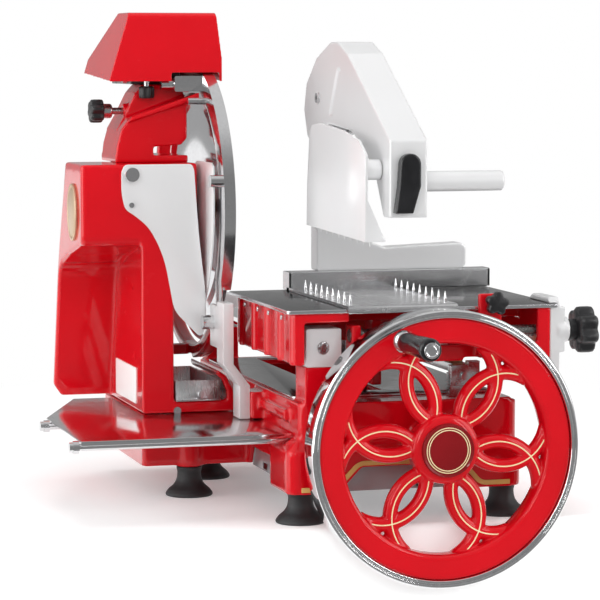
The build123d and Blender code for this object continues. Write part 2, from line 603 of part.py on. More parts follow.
def rocker_arm():
    """Slotted lever between the crank pin and the lug under the carriage, leaning forward at rest."""
    x0, x1 = ROCKER_X - 6, ROCKER_X + 6
    top_z = ROCKER_Z + ROCKER_L
    plate = box(x0, x1, ROCKER_Y - 9.5, ROCKER_Y + 9.5, ROCKER_Z, top_z)
    plate = fuse(plate, rod_x(ROCKER_Y, ROCKER_Z, 9.5, x0, x1), rod_x(ROCKER_Y, top_z, 9.5, x0, x1))
    plate = plate - box(x0 - 1, x1 + 1, ROCKER_Y - 5, ROCKER_Y + 5, ROCKER_Z + 26, top_z)
    plate = plate - rod_x(ROCKER_Y, ROCKER_Z, 5 + RUNNING, x0 - 1, x1 + 1)
    pivot = Pos(0, ROCKER_Y, ROCKER_Z)
    return pivot * Rot(ROCKER_LEAN, 0, 0) * pivot.inverse() * plate


def rocker_pin():
    return rod_x(ROCKER_Y, ROCKER_Z, 5, ROCKER_X - 13, ROCKER_X + 13)


# ---- flywheel -----------------------------------------------------------------------------------
def petal_rib(angle, side):
    """One curved rib of a petal: part of a ring lying in the wheel's plane."""
    ring = Cylinder(PETAL_R + RIB_R, 2 * RIB_R) - Cylinder(PETAL_R - RIB_R, 3 * RIB_R)
    ring = Pos(PETAL_CX, -side * PETAL_CT, 0) * ring
    inner = Pos(45, side * 12, 0) * Box(44, 44, 40)
    outer = Pos(93, -side * 8, 0) * Box(54, 62, 40)
    rib = (ring & inner) + (ring & outer)
    return Rot(0, 0, angle) * rib


def flywheel_casting():
    """Painted wheel: flat rim, six crossed-arc petals and a domed hub."""
    disc = Cylinder(TYRE_IN, WHEEL_WIDTH - 6) - Cylinder(RIM_IN, WHEEL_WIDTH)
    lip = Pos(0, 0, -(WHEEL_WIDTH - 6) / 2 + 7) * (Cylinder(RIM_IN + 1, 8) - Cylinder(RIM_IN - 4, 9))
    hub = Cylinder(HUB_R, 30)
    hub = fillet(hub.edges(), 4)
    wheel = fuse(disc, lip, hub)
    for k in range(PETALS):
        angle = PETAL_PHASE + 360 * k / PETALS
        for side in (1, -1):
            wheel = wheel + petal_rib(angle, side)
    return wheel - Cylinder(9, 60)


def place_wheel(shape):
    """Moves a shape built about Z into the wheel's place, its front towards -Y."""
    middle = WHEEL_FRONT_Y + WHEEL_WIDTH / 2
    return Pos(WHEEL_X, middle, WHEEL_Z) * Rot(90, 0, 0) * shape


def flywheel_tyre():
    tyre = Cylinder(WHEEL_R, WHEEL_WIDTH) - Cylinder(TYRE_IN, WHEEL_WIDTH + 2)
    outer = tyre.edges().filter_by(GeomType.CIRCLE).group_by(SortBy.RADIUS)[-1]
    tyre = fillet(outer, 3)
    groove = Pos(0, 0, WHEEL_WIDTH / 2) * (Cylinder(147, 3) - Cylinder(145.4, 4))
    return tyre - groove


def hub_badge():
    """Plain round badge in a raised ring."""
    y = WHEEL_FRONT_Y + WHEEL_WIDTH / 2 - 15
    disc = rod_y(WHEEL_X, WHEEL_Z, 27, y - 5, y)
    ring = rod_y(WHEEL_X, WHEEL_Z, 29, y - 6.5, y) - rod_y(WHEEL_X, WHEEL_Z, 27, y - 8, y + 1)
    return fuse(disc, ring)


def crank_pin():
    """Steel pin and chrome seat fixed in the rim."""
    y = WHEEL_FRONT_Y
    seat = turned_y([(0, y + 3), (12.6, y + 3), (12.6, y + 1), (10, y - 3), (0, y - 3)], GRIP_X, GRIP_Z)
    return fuse(seat, rod_y(GRIP_X, GRIP_Z, 5, y - 89, y), grip_cap())


def crank_grip():
    """Freely turning handle with a waisted barrel."""
    y = WHEEL_FRONT_Y - 3.5
    profile = [(5 + RUNNING, y), (10, y), (11.5, y - 12), (11, y - 30), (12.5, y - 70), (12.5, y - 82),
               (11, y - 85), (5 + RUNNING, y - 85)]
    return turned_y(profile, GRIP_X, GRIP_Z)


def grip_cap():
    """Bright ring pressed into the handle's end, on the pin."""
    y = WHEEL_FRONT_Y - 88.6
    return rod_y(GRIP_X, GRIP_Z, 8.5, y - 3, y)


# ---- guides -------------------------------------------------------------------------------------
def guide_rod():
    return rod_y(ROD_X, ROD_Z, ROD_R, -12, BASE_Y1 - 8)


def rod_blocks():
    front = rounded(box(0, 40, BASE_Y0 - 2, 20, ROD_Z - 21, ROD_Z + 21), 2.5, Axis.Y)
    rear = rounded(box(0, 40, BASE_Y1 - 22, BASE_Y1, ROD_Z - 21, ROD_Z + 21), 2.5, Axis.Y)
    bore = rod_y(ROD_X, ROD_Z, ROD_R, -12, BASE_Y1 - 8)
    seat = rod_y(ROD_X, ROD_Z, 6, BASE_Y0 - 3, -11)
    return [front - bore - seat, rear - bore]


def block_screw():
    """Slotted screw that draws the rod into the front block."""
    head = rod_y(ROD_X, ROD_Z, 6, BASE_Y0 - 3, -12)
    return head - box(ROD_X - 7, ROD_X + 7, BASE_Y0 - 4, BASE_Y0 - 1.5, ROD_Z - 0.8, ROD_Z + 0.8)


def support_rail():
    """Flat right-hand rail on two brackets."""
    rail = box(RAIL_X - 9, RAIL_X + 9, -6, BASE_Y1 - 8, 158, 168)
    feet = [box(RAIL_X - 14, RAIL_X + 16, y, y + 14, BASE_TOP, 158) for y in (0, BASE_Y1 - 26)]
    front = box(RAIL_X - 16, RAIL_X + 18, -8, 2, 145, 172) - box(RAIL_X - 17, RAIL_X + 4, -9, 3, 168, 173)
    return fuse(rail, *feet, front)


def rail_bolts():
    return [rod_y(RAIL_X, 156, 5, -13, -8)]


# ---- carriage -----------------------------------------------------------------------------------
def carriage_casting():
    outer = box(CAR_X0, CAR_X1, CAR_Y0, CAR_Y1, CAR_Z0, CAR_Z1)
    inner = box(CAR_X0 + 7, CAR_X1 - 9, CAR_Y0 + 7, CAR_Y1 - 8, CAR_Z0 - 1, CAR_Z1 + 1)
    frame = outer - inner
    # vertical ribs along the left side
    for y in (-30, 20, 75, 130, 185):
        frame = frame + rod_z(CAR_X0 + 1, y, 5, CAR_Z0, CAR_Z1)
    # the housings of both bushes hang from the top web
    for y0, y1 in ((26, 62), (150, 192)):
        frame = frame + box(CAR_X0 + 5, 42, y0, y1, ROD_Z - 17, CAR_Z1)
    for y0, y1 in ((20, 50), (150, 190)):
        frame = frame + box(RAIL_X - 10, RAIL_X + 10, y0, y1, 180, CAR_Z1)
    for y0, y1 in ((34, 50), (160, 176)):
        frame = frame + box(CAR_X0 + 5, CAR_X1 - 5, y0, y1, 216, CAR_Z1)
    # openings in the front wall: guide block below, feed nut above the low beam
    frame = frame - box(-6, 48, CAR_Y0 - 1, CAR_Y0 + 8, CAR_Z0 - 1, 222)
    frame = frame - box(44, 260, CAR_Y0 - 1, CAR_Y0 + 8, 194, CAR_Z1 + 1)
    frame = frame - box(-6, 48, CAR_Y1 - 9, CAR_Y1 + 1, CAR_Z0 - 1, 222)
    frame = frame - box(RAIL_X - 12, RAIL_X + 12, CAR_Y0 - 1, CAR_Y0 + 8, CAR_Z0 - 1, 180)
    # inner bearing of the feed screw, and the lug of the setting knob
    frame = frame + box(48, 58, CAR_Y0 + 1, -10, CAR_Z0, 218)
    frame = frame + box(188, 214, -50, -42.5, 210, 250) + box(188, 214, -50, -37, 180, 194)
    frame = frame + box(188, 214, -50, -44.5, 190, 212)
    frame = frame + box(ROCKER_X + 8, ROCKER_X + 20, 60, 90, 140, CAR_Z1)
    frame = frame + box(ROCKER_X + 8, ROCKER_X + 20, 44, 168, 214, CAR_Z1)
    frame = frame - rod_x(FEED_Y, FEED_Z, 7 + RUNNING, 47, 59) - rod_x(FEED_Y, FEED_Z, 7 + RUNNING, 260, 280)
    frame = frame - rod_y(ROD_X, ROD_Z, 13, 25, 63) - rod_y(ROD_X, ROD_Z, 13, 149, 193)
    frame = frame - rod_y(ROD_X, ROD_Z, 13, CAR_Y0 - 1, CAR_Y1 + 1)
    return frame - rod_y(SET_X, SET_Z, 4, -51, -44)


def carriage_bushes():
    rings = []
    for y0, y1 in ((26, 62), (150, 192)):
        rings.append(rod_y(ROD_X, ROD_Z, 13, y0, y1) - rod_y(ROD_X, ROD_Z, ROD_R + RUNNING, y0 - 1, y1 + 1))
    return rings


def runner_pads():
    """Plastic pads that run on the flat rail."""
    return [box(RAIL_X - 8, RAIL_X + 8, y0, y1, 168.1, 180) for y0, y1 in ((22, 48), (152, 188))]


def carriage_table():
    plate = box(TABLE_X0, TABLE_X1, TABLE_Y0, TABLE_Y1, CAR_Z1, TABLE_TOP)
    return rounded(plate, 5, Axis.Z)


def end_bracket():
    """Pale cast bracket on the carriage's right wall that carries the feed screw."""
    plate = prism_x([(-36, 150), (-36, 234), (-30, 243), (20, 243), (40, 232), (40, 176), (10, 128),
                     (-20, 128)], CAR_X1, CAR_X1 + 12)
    boss = box(CAR_X1 + 10, CAR_X1 + 18, -36, -6, 182, 232)
    plate = fuse(plate, boss, rod_x(FEED_Y, FEED_Z, 14, CAR_X1 + 10, CAR_X1 + 24))
    plate = plate - box(CAR_X1 - 1, TABLE_X1 + 1, TABLE_Y0 - 1, 60, CAR_Z1 - 0.2, TABLE_TOP + 0.2)
    return plate - rod_x(FEED_Y, FEED_Z, 7 + RUNNING, CAR_X1 - 2, CAR_X1 + 26)


def setting_knob():
    """Star knob that sets the slice thickness."""
    knob = Pos(SET_X, -53, SET_Z) * Rot(90, 0, 0) * lobed_knob(5, 13, 4.5, 12)
    stem = rod_y(SET_X, SET_Z, 4 - RUNNING, -53.2, -45)
    washer = rod_y(SET_X, SET_Z, 9, -53.2, -50.6)
    return fuse(knob, stem, washer)


def feed_knob():
    knob = Pos(CAR_X1 + 33, FEED_Y, FEED_Z) * Rot(0, 90, 0) * lobed_knob(7, 26, 9, 22)
    knob = fuse(knob, rod_x(FEED_Y, FEED_Z, 12, CAR_X1 + 25, CAR_X1 + 36))
    return knob - rod_x(FEED_Y, FEED_Z, 7, CAR_X1 + 20, CAR_X1 + 45)


def feed_screw():
    return rod_x(FEED_Y, FEED_Z, 7, 47.5, CAR_X1 + 45) + rod_x(FEED_Y, FEED_Z, 9, 58.5, 62)


# ---- meat plate and holder ----------------------------------------------------------------------
def meat_plate():
    """Toothed plate with a rolled front lip and a tall rear rail."""
    floor = box(PLATE_X0, PLATE_X1, -44, 200, PLATE_Z0, PLATE_Z1)
    lip = prism_x([(-44, PLATE_Z1), (-48, PLATE_Z1 - 1.5), (-49.5, PLATE_Z1 - 5), (-49.5, 231.5),
                   (-47, 231.5), (-47, PLATE_Z1 - 5), (-44, PLATE_Z0)], PLATE_X0, PLATE_X1)
    rail = box(PLATE_X0, 286, 190, 216, PLATE_Z0, RAIL_TOP)
    rail = rail - box(PLATE_X0 + 3, 283, 193, 213, PLATE_Z0 - 1, RAIL_TOP - 3)
    plate = fuse(floor, lip, rail)
    for x in (PLATE_X0 + 8, PLATE_X1 - 8):
        for k in range(SPIKES):
            plate = plate - rod_z(x, SPIKE_Y0 + k * SPIKE_STEP, 1.6, PLATE_Z0 - 1, PLATE_Z1 + 1)
    return plate


def plate_spikes():
    spikes = []
    for x in (PLATE_X0 + 8, PLATE_X1 - 8):
        for k in range(SPIKES):
            tip = PLATE_Z1 + 12
            profile = [(0, PLATE_Z0), (1.6, PLATE_Z0), (1.6, PLATE_Z1 + 4), (0.4, tip), (0, tip)]
            spikes.append(turned_z(profile, x, SPIKE_Y0 + k * SPIKE_STEP))
    return spikes


def feed_nut():
    """Nut and the cranked tongue that joins it to the plate's lip."""
    nut = rod_x(FEED_Y, FEED_Z, 11, 122, 142) + box(124, 140, -44, FEED_Y, 199, 213)
    tongue = box(124, 140, -46.8, -43, 199, 231)
    tongue = tongue + box(124, 140, -49.5, -43, 228, 231.5)
    return fuse(nut, tongue) - rod_x(FEED_Y, FEED_Z, 7 + RUNNING, 121, 143)


def holder_bracket():
    """Pale L casting on the rail, with the upright that carries the arm."""
    foot = prism_y([(77, RAIL_TOP), (256, RAIL_TOP), (260, RAIL_TOP + 5), (260, 283), (254, 288), (160, 284),
                    (144, 290), (128, 304), (118, 318), (77, 318)], 200, 228)
    upright = prism_x([(200, 310), (228, 310), (232, 400), (214, 470), (178, 470), (178, 440), (200, 400)],
                      84, 110)
    knuckle = rod_x(ARM_PIVOT_Y, ARM_PIVOT_Z, 17, 84, 110)
    body = fuse(foot, upright, knuckle)
    return body - rod_x(ARM_PIVOT_Y, ARM_PIVOT_Z, 6 + RUNNING, 83, 111)


def holder_arm():
    """Boomerang-shaped cover arm, hollow where it straddles the upright."""
    side = [(-80, 336), (-80, 418), (78, 510), (115, 523), (145, 523), (202, 505), (244, 475),
            (254, 444), (240, 414), (222, 404), (150, 430), (60, 424), (-22, 386), (-56, 336)]
    arm = prism_x(side, ARM_X0, ARM_X1)
    hollow = prism_x([(112, 390), (112, 506), (145, 514), (194, 501), (240, 470), (262, 442), (262, 390)],
                     ARM_X0 + 7, ARM_X1 - 7)
    arm = arm - hollow
    # long groove down the left cheek
    groove = prism_x([(104, 492), (118, 492), (150, 440), (136, 440)], ARM_X0 - 1, ARM_X0 + 2)
    arm = arm - groove
    arm = arm - rod_x(ARM_PIVOT_Y, ARM_PIVOT_Z, 6, ARM_X0 - 1, ARM_X1 + 1)
    return arm - rod_x(PRESS_PIVOT_Y, PRESS_PIVOT_Z, 7 + RUNNING, ARM_X0 - 1, ARM_X0 + 20)


def arm_pivot_pin():
    pin = rod_x(ARM_PIVOT_Y, ARM_PIVOT_Z, 6, ARM_X0 - 2, ARM_X1 + 2)
    return pin - rod_x(ARM_PIVOT_Y, ARM_PIVOT_Z, 2.5, ARM_X0 - 3, ARM_X0 + 1)


def arm_handle():
    grip = rod_x(-50, 373, 11, ARM_X1, ARM_X1 + 95)
    return fillet(grip.edges().group_by(Axis.X)[-1], 2.5)


def arm_lever():
    """Black cam lever on the arm's nose."""
    x = LEVER_X
    shape = prism_y([(x - 11.5, 393), (x - 13, 370), (x - 17, 341), (x + 3, 341), (x + 11.5, 370),
                     (x + 11.5, 393)], -92, -81)
    lever = fuse(shape, rod_y(LEVER_X, 393, 11.5, -92, -81))
    front = lever.faces().sort_by(Axis.Y)[0]
    return chamfer(front.edges(), 1.5)


def press_plate():
    """Upright pressing sheet with a bottom flange, a gusset and its pivot stub."""
    side = [(-56, 313), (172, 318), (170, 360), (160, 422), (150, 429), (118, 432), (30, 426), (-30, 417),
            (-56, 402)]
    sheet = prism_x(side, PRESS_X, PRESS_X + 3)
    flange = prism_x([(-56, 309), (172, 314), (172, 318), (-56, 313)], PRESS_X, ARM_X0 + 3)
    gusset = prism_y([(PRESS_X + 2, 312), (ARM_X0 + 2, 312), (PRESS_X + 2, 356)], -56, -53)
    stub = rod_x(PRESS_PIVOT_Y, PRESS_PIVOT_Z, 11, PRESS_X + 2, ARM_X0 - 1)
    stub = stub + rod_x(PRESS_PIVOT_Y, PRESS_PIVOT_Z, 7, ARM_X0 - 2, ARM_X0 + 18)
    return fuse(sheet, flange, gusset, stub, *press_spikes())


def press_spikes():
    spikes = []
    for k in range(10):
        y = -48 + 23.5 * k
        z = 309 + (y + 56) * 5 / 228
        profile = [(0, z + 0.2), (1.5, z + 0.2), (1.5, z - 1), (0.3, z - 6), (0, z - 6)]
        spike = turned_z(profile, PRESS_X + 8, y)
        spikes.append(spike - box(PRESS_X, PRESS_X + 20, y - 3, y + 3, z - 0.15, z + 3))
    return spikes


# ---- slice side ---------------------------------------------------------------------------------
def deflector():
    """Bent sheet that lifts slices off the blade, standing on the tower's front."""
    outline = [(-154, 376), (-150, TOWER_TOP), (-72, TOWER_TOP), (-69, 378), (-64, 304), (-55.5, 231),
               (-55.5, 196), (-62, 184), (-78, 200), (-93, 216), (-97.5, 241), (-103, 270), (-111, 292),
               (-123, 313), (-139, 326), (-150, 333), (-154, 351)]
    sheet = prism_y(outline, TOWER_FRONT_Y - 2.2, TOWER_FRONT_Y - 0.2)
    return sheet


def deflector_screws():
    """Thumb screw that holds the deflector."""
    neck = rod_y(-143.5, 373, 3.5, TOWER_FRONT_Y - 6, TOWER_FRONT_Y - 2.2)
    return neck + rod_y(-143.5, 373, 8, TOWER_FRONT_Y - 14, TOWER_FRONT_Y - 5)


def locating_screws():
    pin = rod_y(-143, 338, 3, TOWER_FRONT_Y - 6, TOWER_FRONT_Y - 2.2)
    low = rod_y(-90, 100, 4.5, TOWER_FRONT_Y - 3, TOWER_FRONT_Y)
    return [pin, low]


def slice_tray():
    """Thin polished receiving plate."""
    outline = [(TRAY_X0, TRAY_Y0), (TRAY_X1, TRAY_Y0), (TRAY_X1, TRAY_Y1), (TOWER_X0 - 2, TRAY_Y1),
               (TOWER_X0 - 2, TRAY_BACK_Y), (TRAY_X0 + 62, TRAY_BACK_Y), (TRAY_X0, 206)]
    plate = prism_z(outline, TRAY_Z - 2, TRAY_Z)
    lip = box(TRAY_X0, TRAY_X1, TRAY_Y0, TRAY_Y0 + 2, TRAY_Z - 5, TRAY_Z - 1)
    return fuse(plate, lip)


def tray_rods():
    """Two rods under the tray, with hexagonal end nuts."""
    return [fuse(*pair) for pair in zip(tray_bars(), rod_nuts())]


def tray_bars():
    """Plain bars fixed in the base's left side."""
    return [rod_x(y, TRAY_Z - 7.2, 4.2, TRAY_X0 - 1, end) for y, end in TRAY_RODS]


def rod_nuts():
    nuts = []
    for y, _ in TRAY_RODS:
        nut = rod_x(y, TRAY_Z - 7.2, 7, TRAY_X0 - 7, TRAY_X0 - 0.5)
        collar = rod_x(y, TRAY_Z - 7.2, 5.5, TRAY_X0 - 11, TRAY_X0 - 7)
        nuts.append(fuse(nut, collar))
    return nuts


def crumb_drawer():
    """Sheet drawer below the blade, with its pull knob."""
    x0, x1, y1 = -91, -38, 352
    tray = box(x0, x1, TOWER_FRONT_Y + 1, y1, 111, 134)
    tray = tray - box(x0 + 1.5, x1 - 1.5, TOWER_FRONT_Y + 3, y1 - 1.5, 112.5, 135)
    lip = box(x0, x1, TOWER_FRONT_Y - 3, TOWER_FRONT_Y + 2, 110.5, 112.5)
    knob = rod_y(-62, 119, 2.5, TOWER_FRONT_Y - 4, TOWER_FRONT_Y + 2)
    knob = knob + rod_y(-62, 119, 4.5, TOWER_FRONT_Y - 9, TOWER_FRONT_Y - 3)
    return fuse(tray, lip, knob)


def oval_badge():
    """Plain oval badge on the wing's side."""
    side = Plane(origin=(WING_X0 - 2.5, 254, 328), x_dir=(0, 1, 0), z_dir=(1, 0, 0))
    plate = extrude(side * Ellipse(26, 33), 2.5)
    return plate - (extrude(side * Ellipse(22.5, 29.5), 0.8) - extrude(side * Ellipse(21, 28), 1.5))


def shaft_bearings():
    return flywheel_bearings() + cross_bearings() + spindle_bearings()


def fixed_fasteners():
    """Studs, pins and screws that stay in the frame."""
    loose = [block_screw(), rocker_pin(), hood_hinge_pin(), *rail_bolts(), *locating_screws()]
    return loose + foot_studs() + guard_knobs()


def sliding_bushes():
    return carriage_bushes() + runner_pads()


def flywheel_red():
    return place_wheel(flywheel_casting())


def flywheel_band():
    return place_wheel(flywheel_tyre())


BUILDERS = [
    base_casting, base_top_plate, bottom_pan, rubber_feet, tower_casting, neck_casting, sharpener_body,
    guard_ring, rear_guard, guard_post, fixed_fasteners, blade_cover, drive_chain, shaft_bearings,
    guide_rod, rod_blocks, support_rail, deflector, oval_badge, tray_rods, slice_tray,
    sharpener_hood, grinding_stone, stone_spindle, sharpener_knob, lock_knob,
    blade, blade_spindle, blade_screws, spindle_sprocket, cross_shaft, cross_sprocket, driven_bevel,
    crank_disc, flywheel_red, flywheel_band, hub_badge, crank_pin, flywheel_shaft, driving_bevel, crank_grip,
    rocker_arm,
    carriage_casting, sliding_bushes, carriage_table, end_bracket, setting_knob, feed_knob, feed_screw,
    meat_plate, plate_spikes, feed_nut, holder_bracket, holder_arm, arm_pivot_pin, arm_handle, press_plate,
    arm_lever, crumb_drawer, deflector_screws,
]

if __name__ == "__main__":
    for builder in BUILDERS:
        save(builder.__name__, builder())
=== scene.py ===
# Looks of the flywheel slicer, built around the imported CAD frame. Lengths are written in millimetres in the
# row frame and turned into metres where a mesh is made; the lights and the camera are placed in metres.
import json
import math

import bmesh
import bpy
from mathutils import Matrix, Vector


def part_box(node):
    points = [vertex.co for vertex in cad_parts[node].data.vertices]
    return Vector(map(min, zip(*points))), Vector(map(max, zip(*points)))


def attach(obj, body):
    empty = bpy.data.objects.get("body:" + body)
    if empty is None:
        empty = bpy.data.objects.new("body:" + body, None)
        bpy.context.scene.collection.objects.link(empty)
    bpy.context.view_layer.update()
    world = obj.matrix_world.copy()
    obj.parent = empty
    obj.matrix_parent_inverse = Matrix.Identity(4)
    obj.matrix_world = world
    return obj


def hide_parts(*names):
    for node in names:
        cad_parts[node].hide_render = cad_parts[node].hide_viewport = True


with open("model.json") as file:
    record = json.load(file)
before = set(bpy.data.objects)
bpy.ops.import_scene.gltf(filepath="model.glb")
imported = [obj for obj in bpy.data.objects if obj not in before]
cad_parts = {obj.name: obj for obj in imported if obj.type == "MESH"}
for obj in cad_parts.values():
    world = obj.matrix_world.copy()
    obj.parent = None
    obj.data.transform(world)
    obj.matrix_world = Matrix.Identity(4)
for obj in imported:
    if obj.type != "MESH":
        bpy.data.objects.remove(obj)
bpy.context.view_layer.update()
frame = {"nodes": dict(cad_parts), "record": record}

MM = 0.001
WELD = 2e-6  # metres within which two corners of the CAD mesh are one
ON_AXIS = 1e-6  # millimetres from a turned part's axis
NODES = frame["nodes"]
BODY_OF = {node: body for body, nodes in frame["record"]["behaviour"]["bodies"].items() for node in nodes}


# ---- materials ----------------------------------------------------------------------------------
class Graph:
    """Small helper that adds and links shader nodes."""

    def __init__(self, name):
        self.material = bpy.data.materials.new(name)
        self.material.use_nodes = True
        self.tree = self.material.node_tree
        self.tree.nodes.clear()
        self.out = self.add("ShaderNodeOutputMaterial")
        self.bsdf = self.add("ShaderNodeBsdfPrincipled")
        self.link(self.bsdf.outputs[0], self.out.inputs["Surface"])
        self.place = self.add("ShaderNodeTexCoord").outputs["Object"]

    def add(self, kind, **values):
        node = self.tree.nodes.new(kind)
        for key, value in values.items():
            setattr(node, key, value)
        return node

    def link(self, a, b):
        self.tree.links.new(a, b)

    def noise(self, scale, stretch=(1, 1, 1), detail=3.0, distortion=0.0):
        mapping = self.add("ShaderNodeMapping")
        mapping.inputs["Scale"].default_value = stretch
        self.link(self.place, mapping.inputs["Vector"])
        node = self.add("ShaderNodeTexNoise")
        node.inputs["Scale"].default_value = scale
        node.inputs["Detail"].default_value = detail
        node.inputs["Distortion"].default_value = distortion
        self.link(mapping.outputs[0], node.inputs["Vector"])
        return node.outputs["Fac"]

    def spread(self, value, low, high, start=0.3, end=0.7):
        """Maps start..end of a value to low..high."""
        node = self.add("ShaderNodeMapRange")
        node.inputs["From Min"].default_value = start
        node.inputs["From Max"].default_value = end
        node.inputs["To Min"].default_value = low
        node.inputs["To Max"].default_value = high
        self.link(value, node.inputs["Value"])
        return node.outputs[0]

    def math(self, kind, a, b):
        node = self.add("ShaderNodeMath", operation=kind)
        for slot, value in enumerate((a, b)):
            if isinstance(value, (int, float)):
                node.inputs[slot].default_value = value
            else:
                self.link(value, node.inputs[slot])
        return node.outputs[0]

    def mix(self, factor, a, b):
        """Colour a where the factor is 0 and b where it is 1."""
        node = self.add("ShaderNodeMix", data_type="RGBA")
        self.link(factor, node.inputs["Factor"])
        for slot, value in ((6, a), (7, b)):
            if isinstance(value, tuple):
                node.inputs[slot].default_value = (*value, 1)
            else:
                self.link(value, node.inputs[slot])
        return node.outputs[2]

    def bump(self, height, distance):
        """Relief of the given height in metres."""
        node = self.add("ShaderNodeBump")
        node.inputs["Distance"].default_value = distance
        node.inputs["Strength"].default_value = 1.0
        self.link(height, node.inputs["Height"])
        return node

    def edge(self, low, high):
        """Bright where the surface turns outward sharply."""
        geometry = self.add("ShaderNodeNewGeometry")
        return self.spread(geometry.outputs["Pointiness"], 0, 1, low, high)

    def facing_up(self):
        """1 on surfaces that face up."""
        geometry = self.add("ShaderNodeNewGeometry")
        parts = self.add("ShaderNodeSeparateXYZ")
        self.link(geometry.outputs["Normal"], parts.inputs[0])
        return self.spread(parts.outputs["Z"], 0, 1, 0.8, 0.95)


def enamel(name, color, shade, rough=0.22, coat=1.0, ripple=0.00022):
    """Thick gloss paint over a casting: orange peel, slow waviness, fine dust and rubbed corners."""
    g = Graph(name)
    tone = g.mix(g.spread(g.noise(9, detail=4), 0, 1), color, shade)
    dust = g.math("MULTIPLY", g.spread(g.noise(1400, detail=2), 0, 1, 0.66, 0.8), 0.05)
    tone = g.mix(dust, tone, (0.75, 0.72, 0.7))
    rubbed = g.math("MULTIPLY", g.edge(0.53, 0.62), g.spread(g.noise(120, detail=5), 0, 0.5, 0.5, 0.75))
    tone = g.mix(g.math("MULTIPLY", rubbed, 0.25), tone, tuple(0.35 + 0.65 * c for c in color))
    g.link(tone, g.bsdf.inputs["Base Color"])
    g.link(g.spread(g.noise(60, detail=4), rough - 0.04, rough + 0.06), g.bsdf.inputs["Roughness"])
    g.bsdf.inputs["Specular IOR Level"].default_value = 0.06
    g.bsdf.inputs["Coat Weight"].default_value = coat
    g.bsdf.inputs["Coat IOR"].default_value = 1.4
    g.link(g.spread(g.noise(45, detail=3), 0.02, 0.06), g.bsdf.inputs["Coat Roughness"])
    peel = g.bump(g.noise(330, detail=1), ripple * 0.12)
    wave = g.bump(g.noise(22, detail=1), ripple)
    g.link(peel.outputs[0], wave.inputs["Normal"])
    g.link(wave.outputs[0], g.bsdf.inputs["Coat Normal"])
    g.link(wave.outputs[0], g.bsdf.inputs["Normal"])
    return g.material


def metal(name, color, rough, grain=(1, 1, 1), grain_scale=900, depth=0.000004, smear=0.06, metallic=1.0,
          pits=0.0):
    """Bare metal with a directional grain, smears and small marks."""
    g = Graph(name)
    lines = g.noise(grain_scale, grain, detail=6)
    marks = g.noise(26, detail=5, distortion=0.6)
    dark = tuple(c * 0.78 for c in color)
    tone = g.mix(g.spread(lines, 0, 0.5), color, dark)
    tone = g.mix(g.spread(marks, 0, 0.35, 0.45, 0.75), tone, tuple(c * 0.86 for c in color))
    g.link(tone, g.bsdf.inputs["Base Color"])
    g.bsdf.inputs["Metallic"].default_value = metallic
    level = g.math("ADD", g.spread(lines, rough * 0.8, rough * 1.25), g.spread(marks, 0, smear))
    g.link(level, g.bsdf.inputs["Roughness"])
    height = g.bump(lines, depth)
    if pits:
        dimple = g.bump(g.noise(520, detail=4), pits)
        g.link(dimple.outputs[0], height.inputs["Normal"])
    g.link(height.outputs[0], g.bsdf.inputs["Normal"])
    return g.material


def moulded(name, color, rough, pebble=0.00003, scuff=(0.3, 0.3, 0.3)):
    """Moulded plastic or rubber with a fine pebble and pale scuffs on its corners."""
    g = Graph(name)
    tone = g.mix(g.spread(g.noise(40, detail=4), 0, 1), color, tuple(c * 1.5 + 0.004 for c in color))
    worn = g.math("MULTIPLY", g.edge(0.53, 0.64), g.spread(g.noise(260, detail=5), 0, 0.6, 0.4, 0.7))
    tone = g.mix(worn, tone, scuff)
    g.link(tone, g.bsdf.inputs["Base Color"])
    g.link(g.spread(g.noise(90, detail=5), rough - 0.07, rough + 0.1), g.bsdf.inputs["Roughness"])
    g.link(g.bump(g.noise(1500, detail=2), pebble).outputs[0], g.bsdf.inputs["Normal"])
    return g.material


def satin_casting(name, color, rough, metallic=0.35, grain=(1, 1, 1), grain_scale=900, depth=0.000008):
    """Pale satin-painted or anodised casting with a soft bead-blasted grain."""
    g = Graph(name)
    tone = g.mix(g.spread(g.noise(8, detail=3), 0, 1, 0.2, 0.8), color, tuple(c * 0.94 for c in color))
    g.link(tone, g.bsdf.inputs["Base Color"])
    g.bsdf.inputs["Metallic"].default_value = metallic
    g.link(g.spread(g.noise(30, detail=3), rough - 0.01, rough + 0.03), g.bsdf.inputs["Roughness"])
    g.bsdf.inputs["Coat Weight"].default_value = 0.25
    g.bsdf.inputs["Coat Roughness"].default_value = 0.18
    g.link(g.bump(g.noise(grain_scale, grain, detail=3), depth).outputs[0], g.bsdf.inputs["Normal"])
    return g.material


def deck_with_painted_dark_top(name):
    """Polished steel top painted near black, as painted shade for the dark room it reflects, with a bright
    machined edge.
    """
    g = Graph(name)
    top = g.facing_up()
    streak = g.noise(500, (0.05, 1, 1), detail=5)
    tone = g.mix(g.spread(streak, 0, 1), (0.012, 0.012, 0.013), (0.03, 0.03, 0.032))
    # painted shade: faces that point up get a near-black colour and less metal, standing in for the dark
    # reflection on polished steel; the sides keep a pale steel colour
    g.link(g.mix(top, (0.78, 0.78, 0.8), tone), g.bsdf.inputs["Base Color"])
    g.link(g.math("SUBTRACT", 1.0, g.math("MULTIPLY", top, 0.55)), g.bsdf.inputs["Metallic"])
    g.link(g.spread(g.noise(60, detail=5), 0.1, 0.2), g.bsdf.inputs["Roughness"])
    g.link(g.bump(streak, 0.000004).outputs[0], g.bsdf.inputs["Normal"])
    return g.material


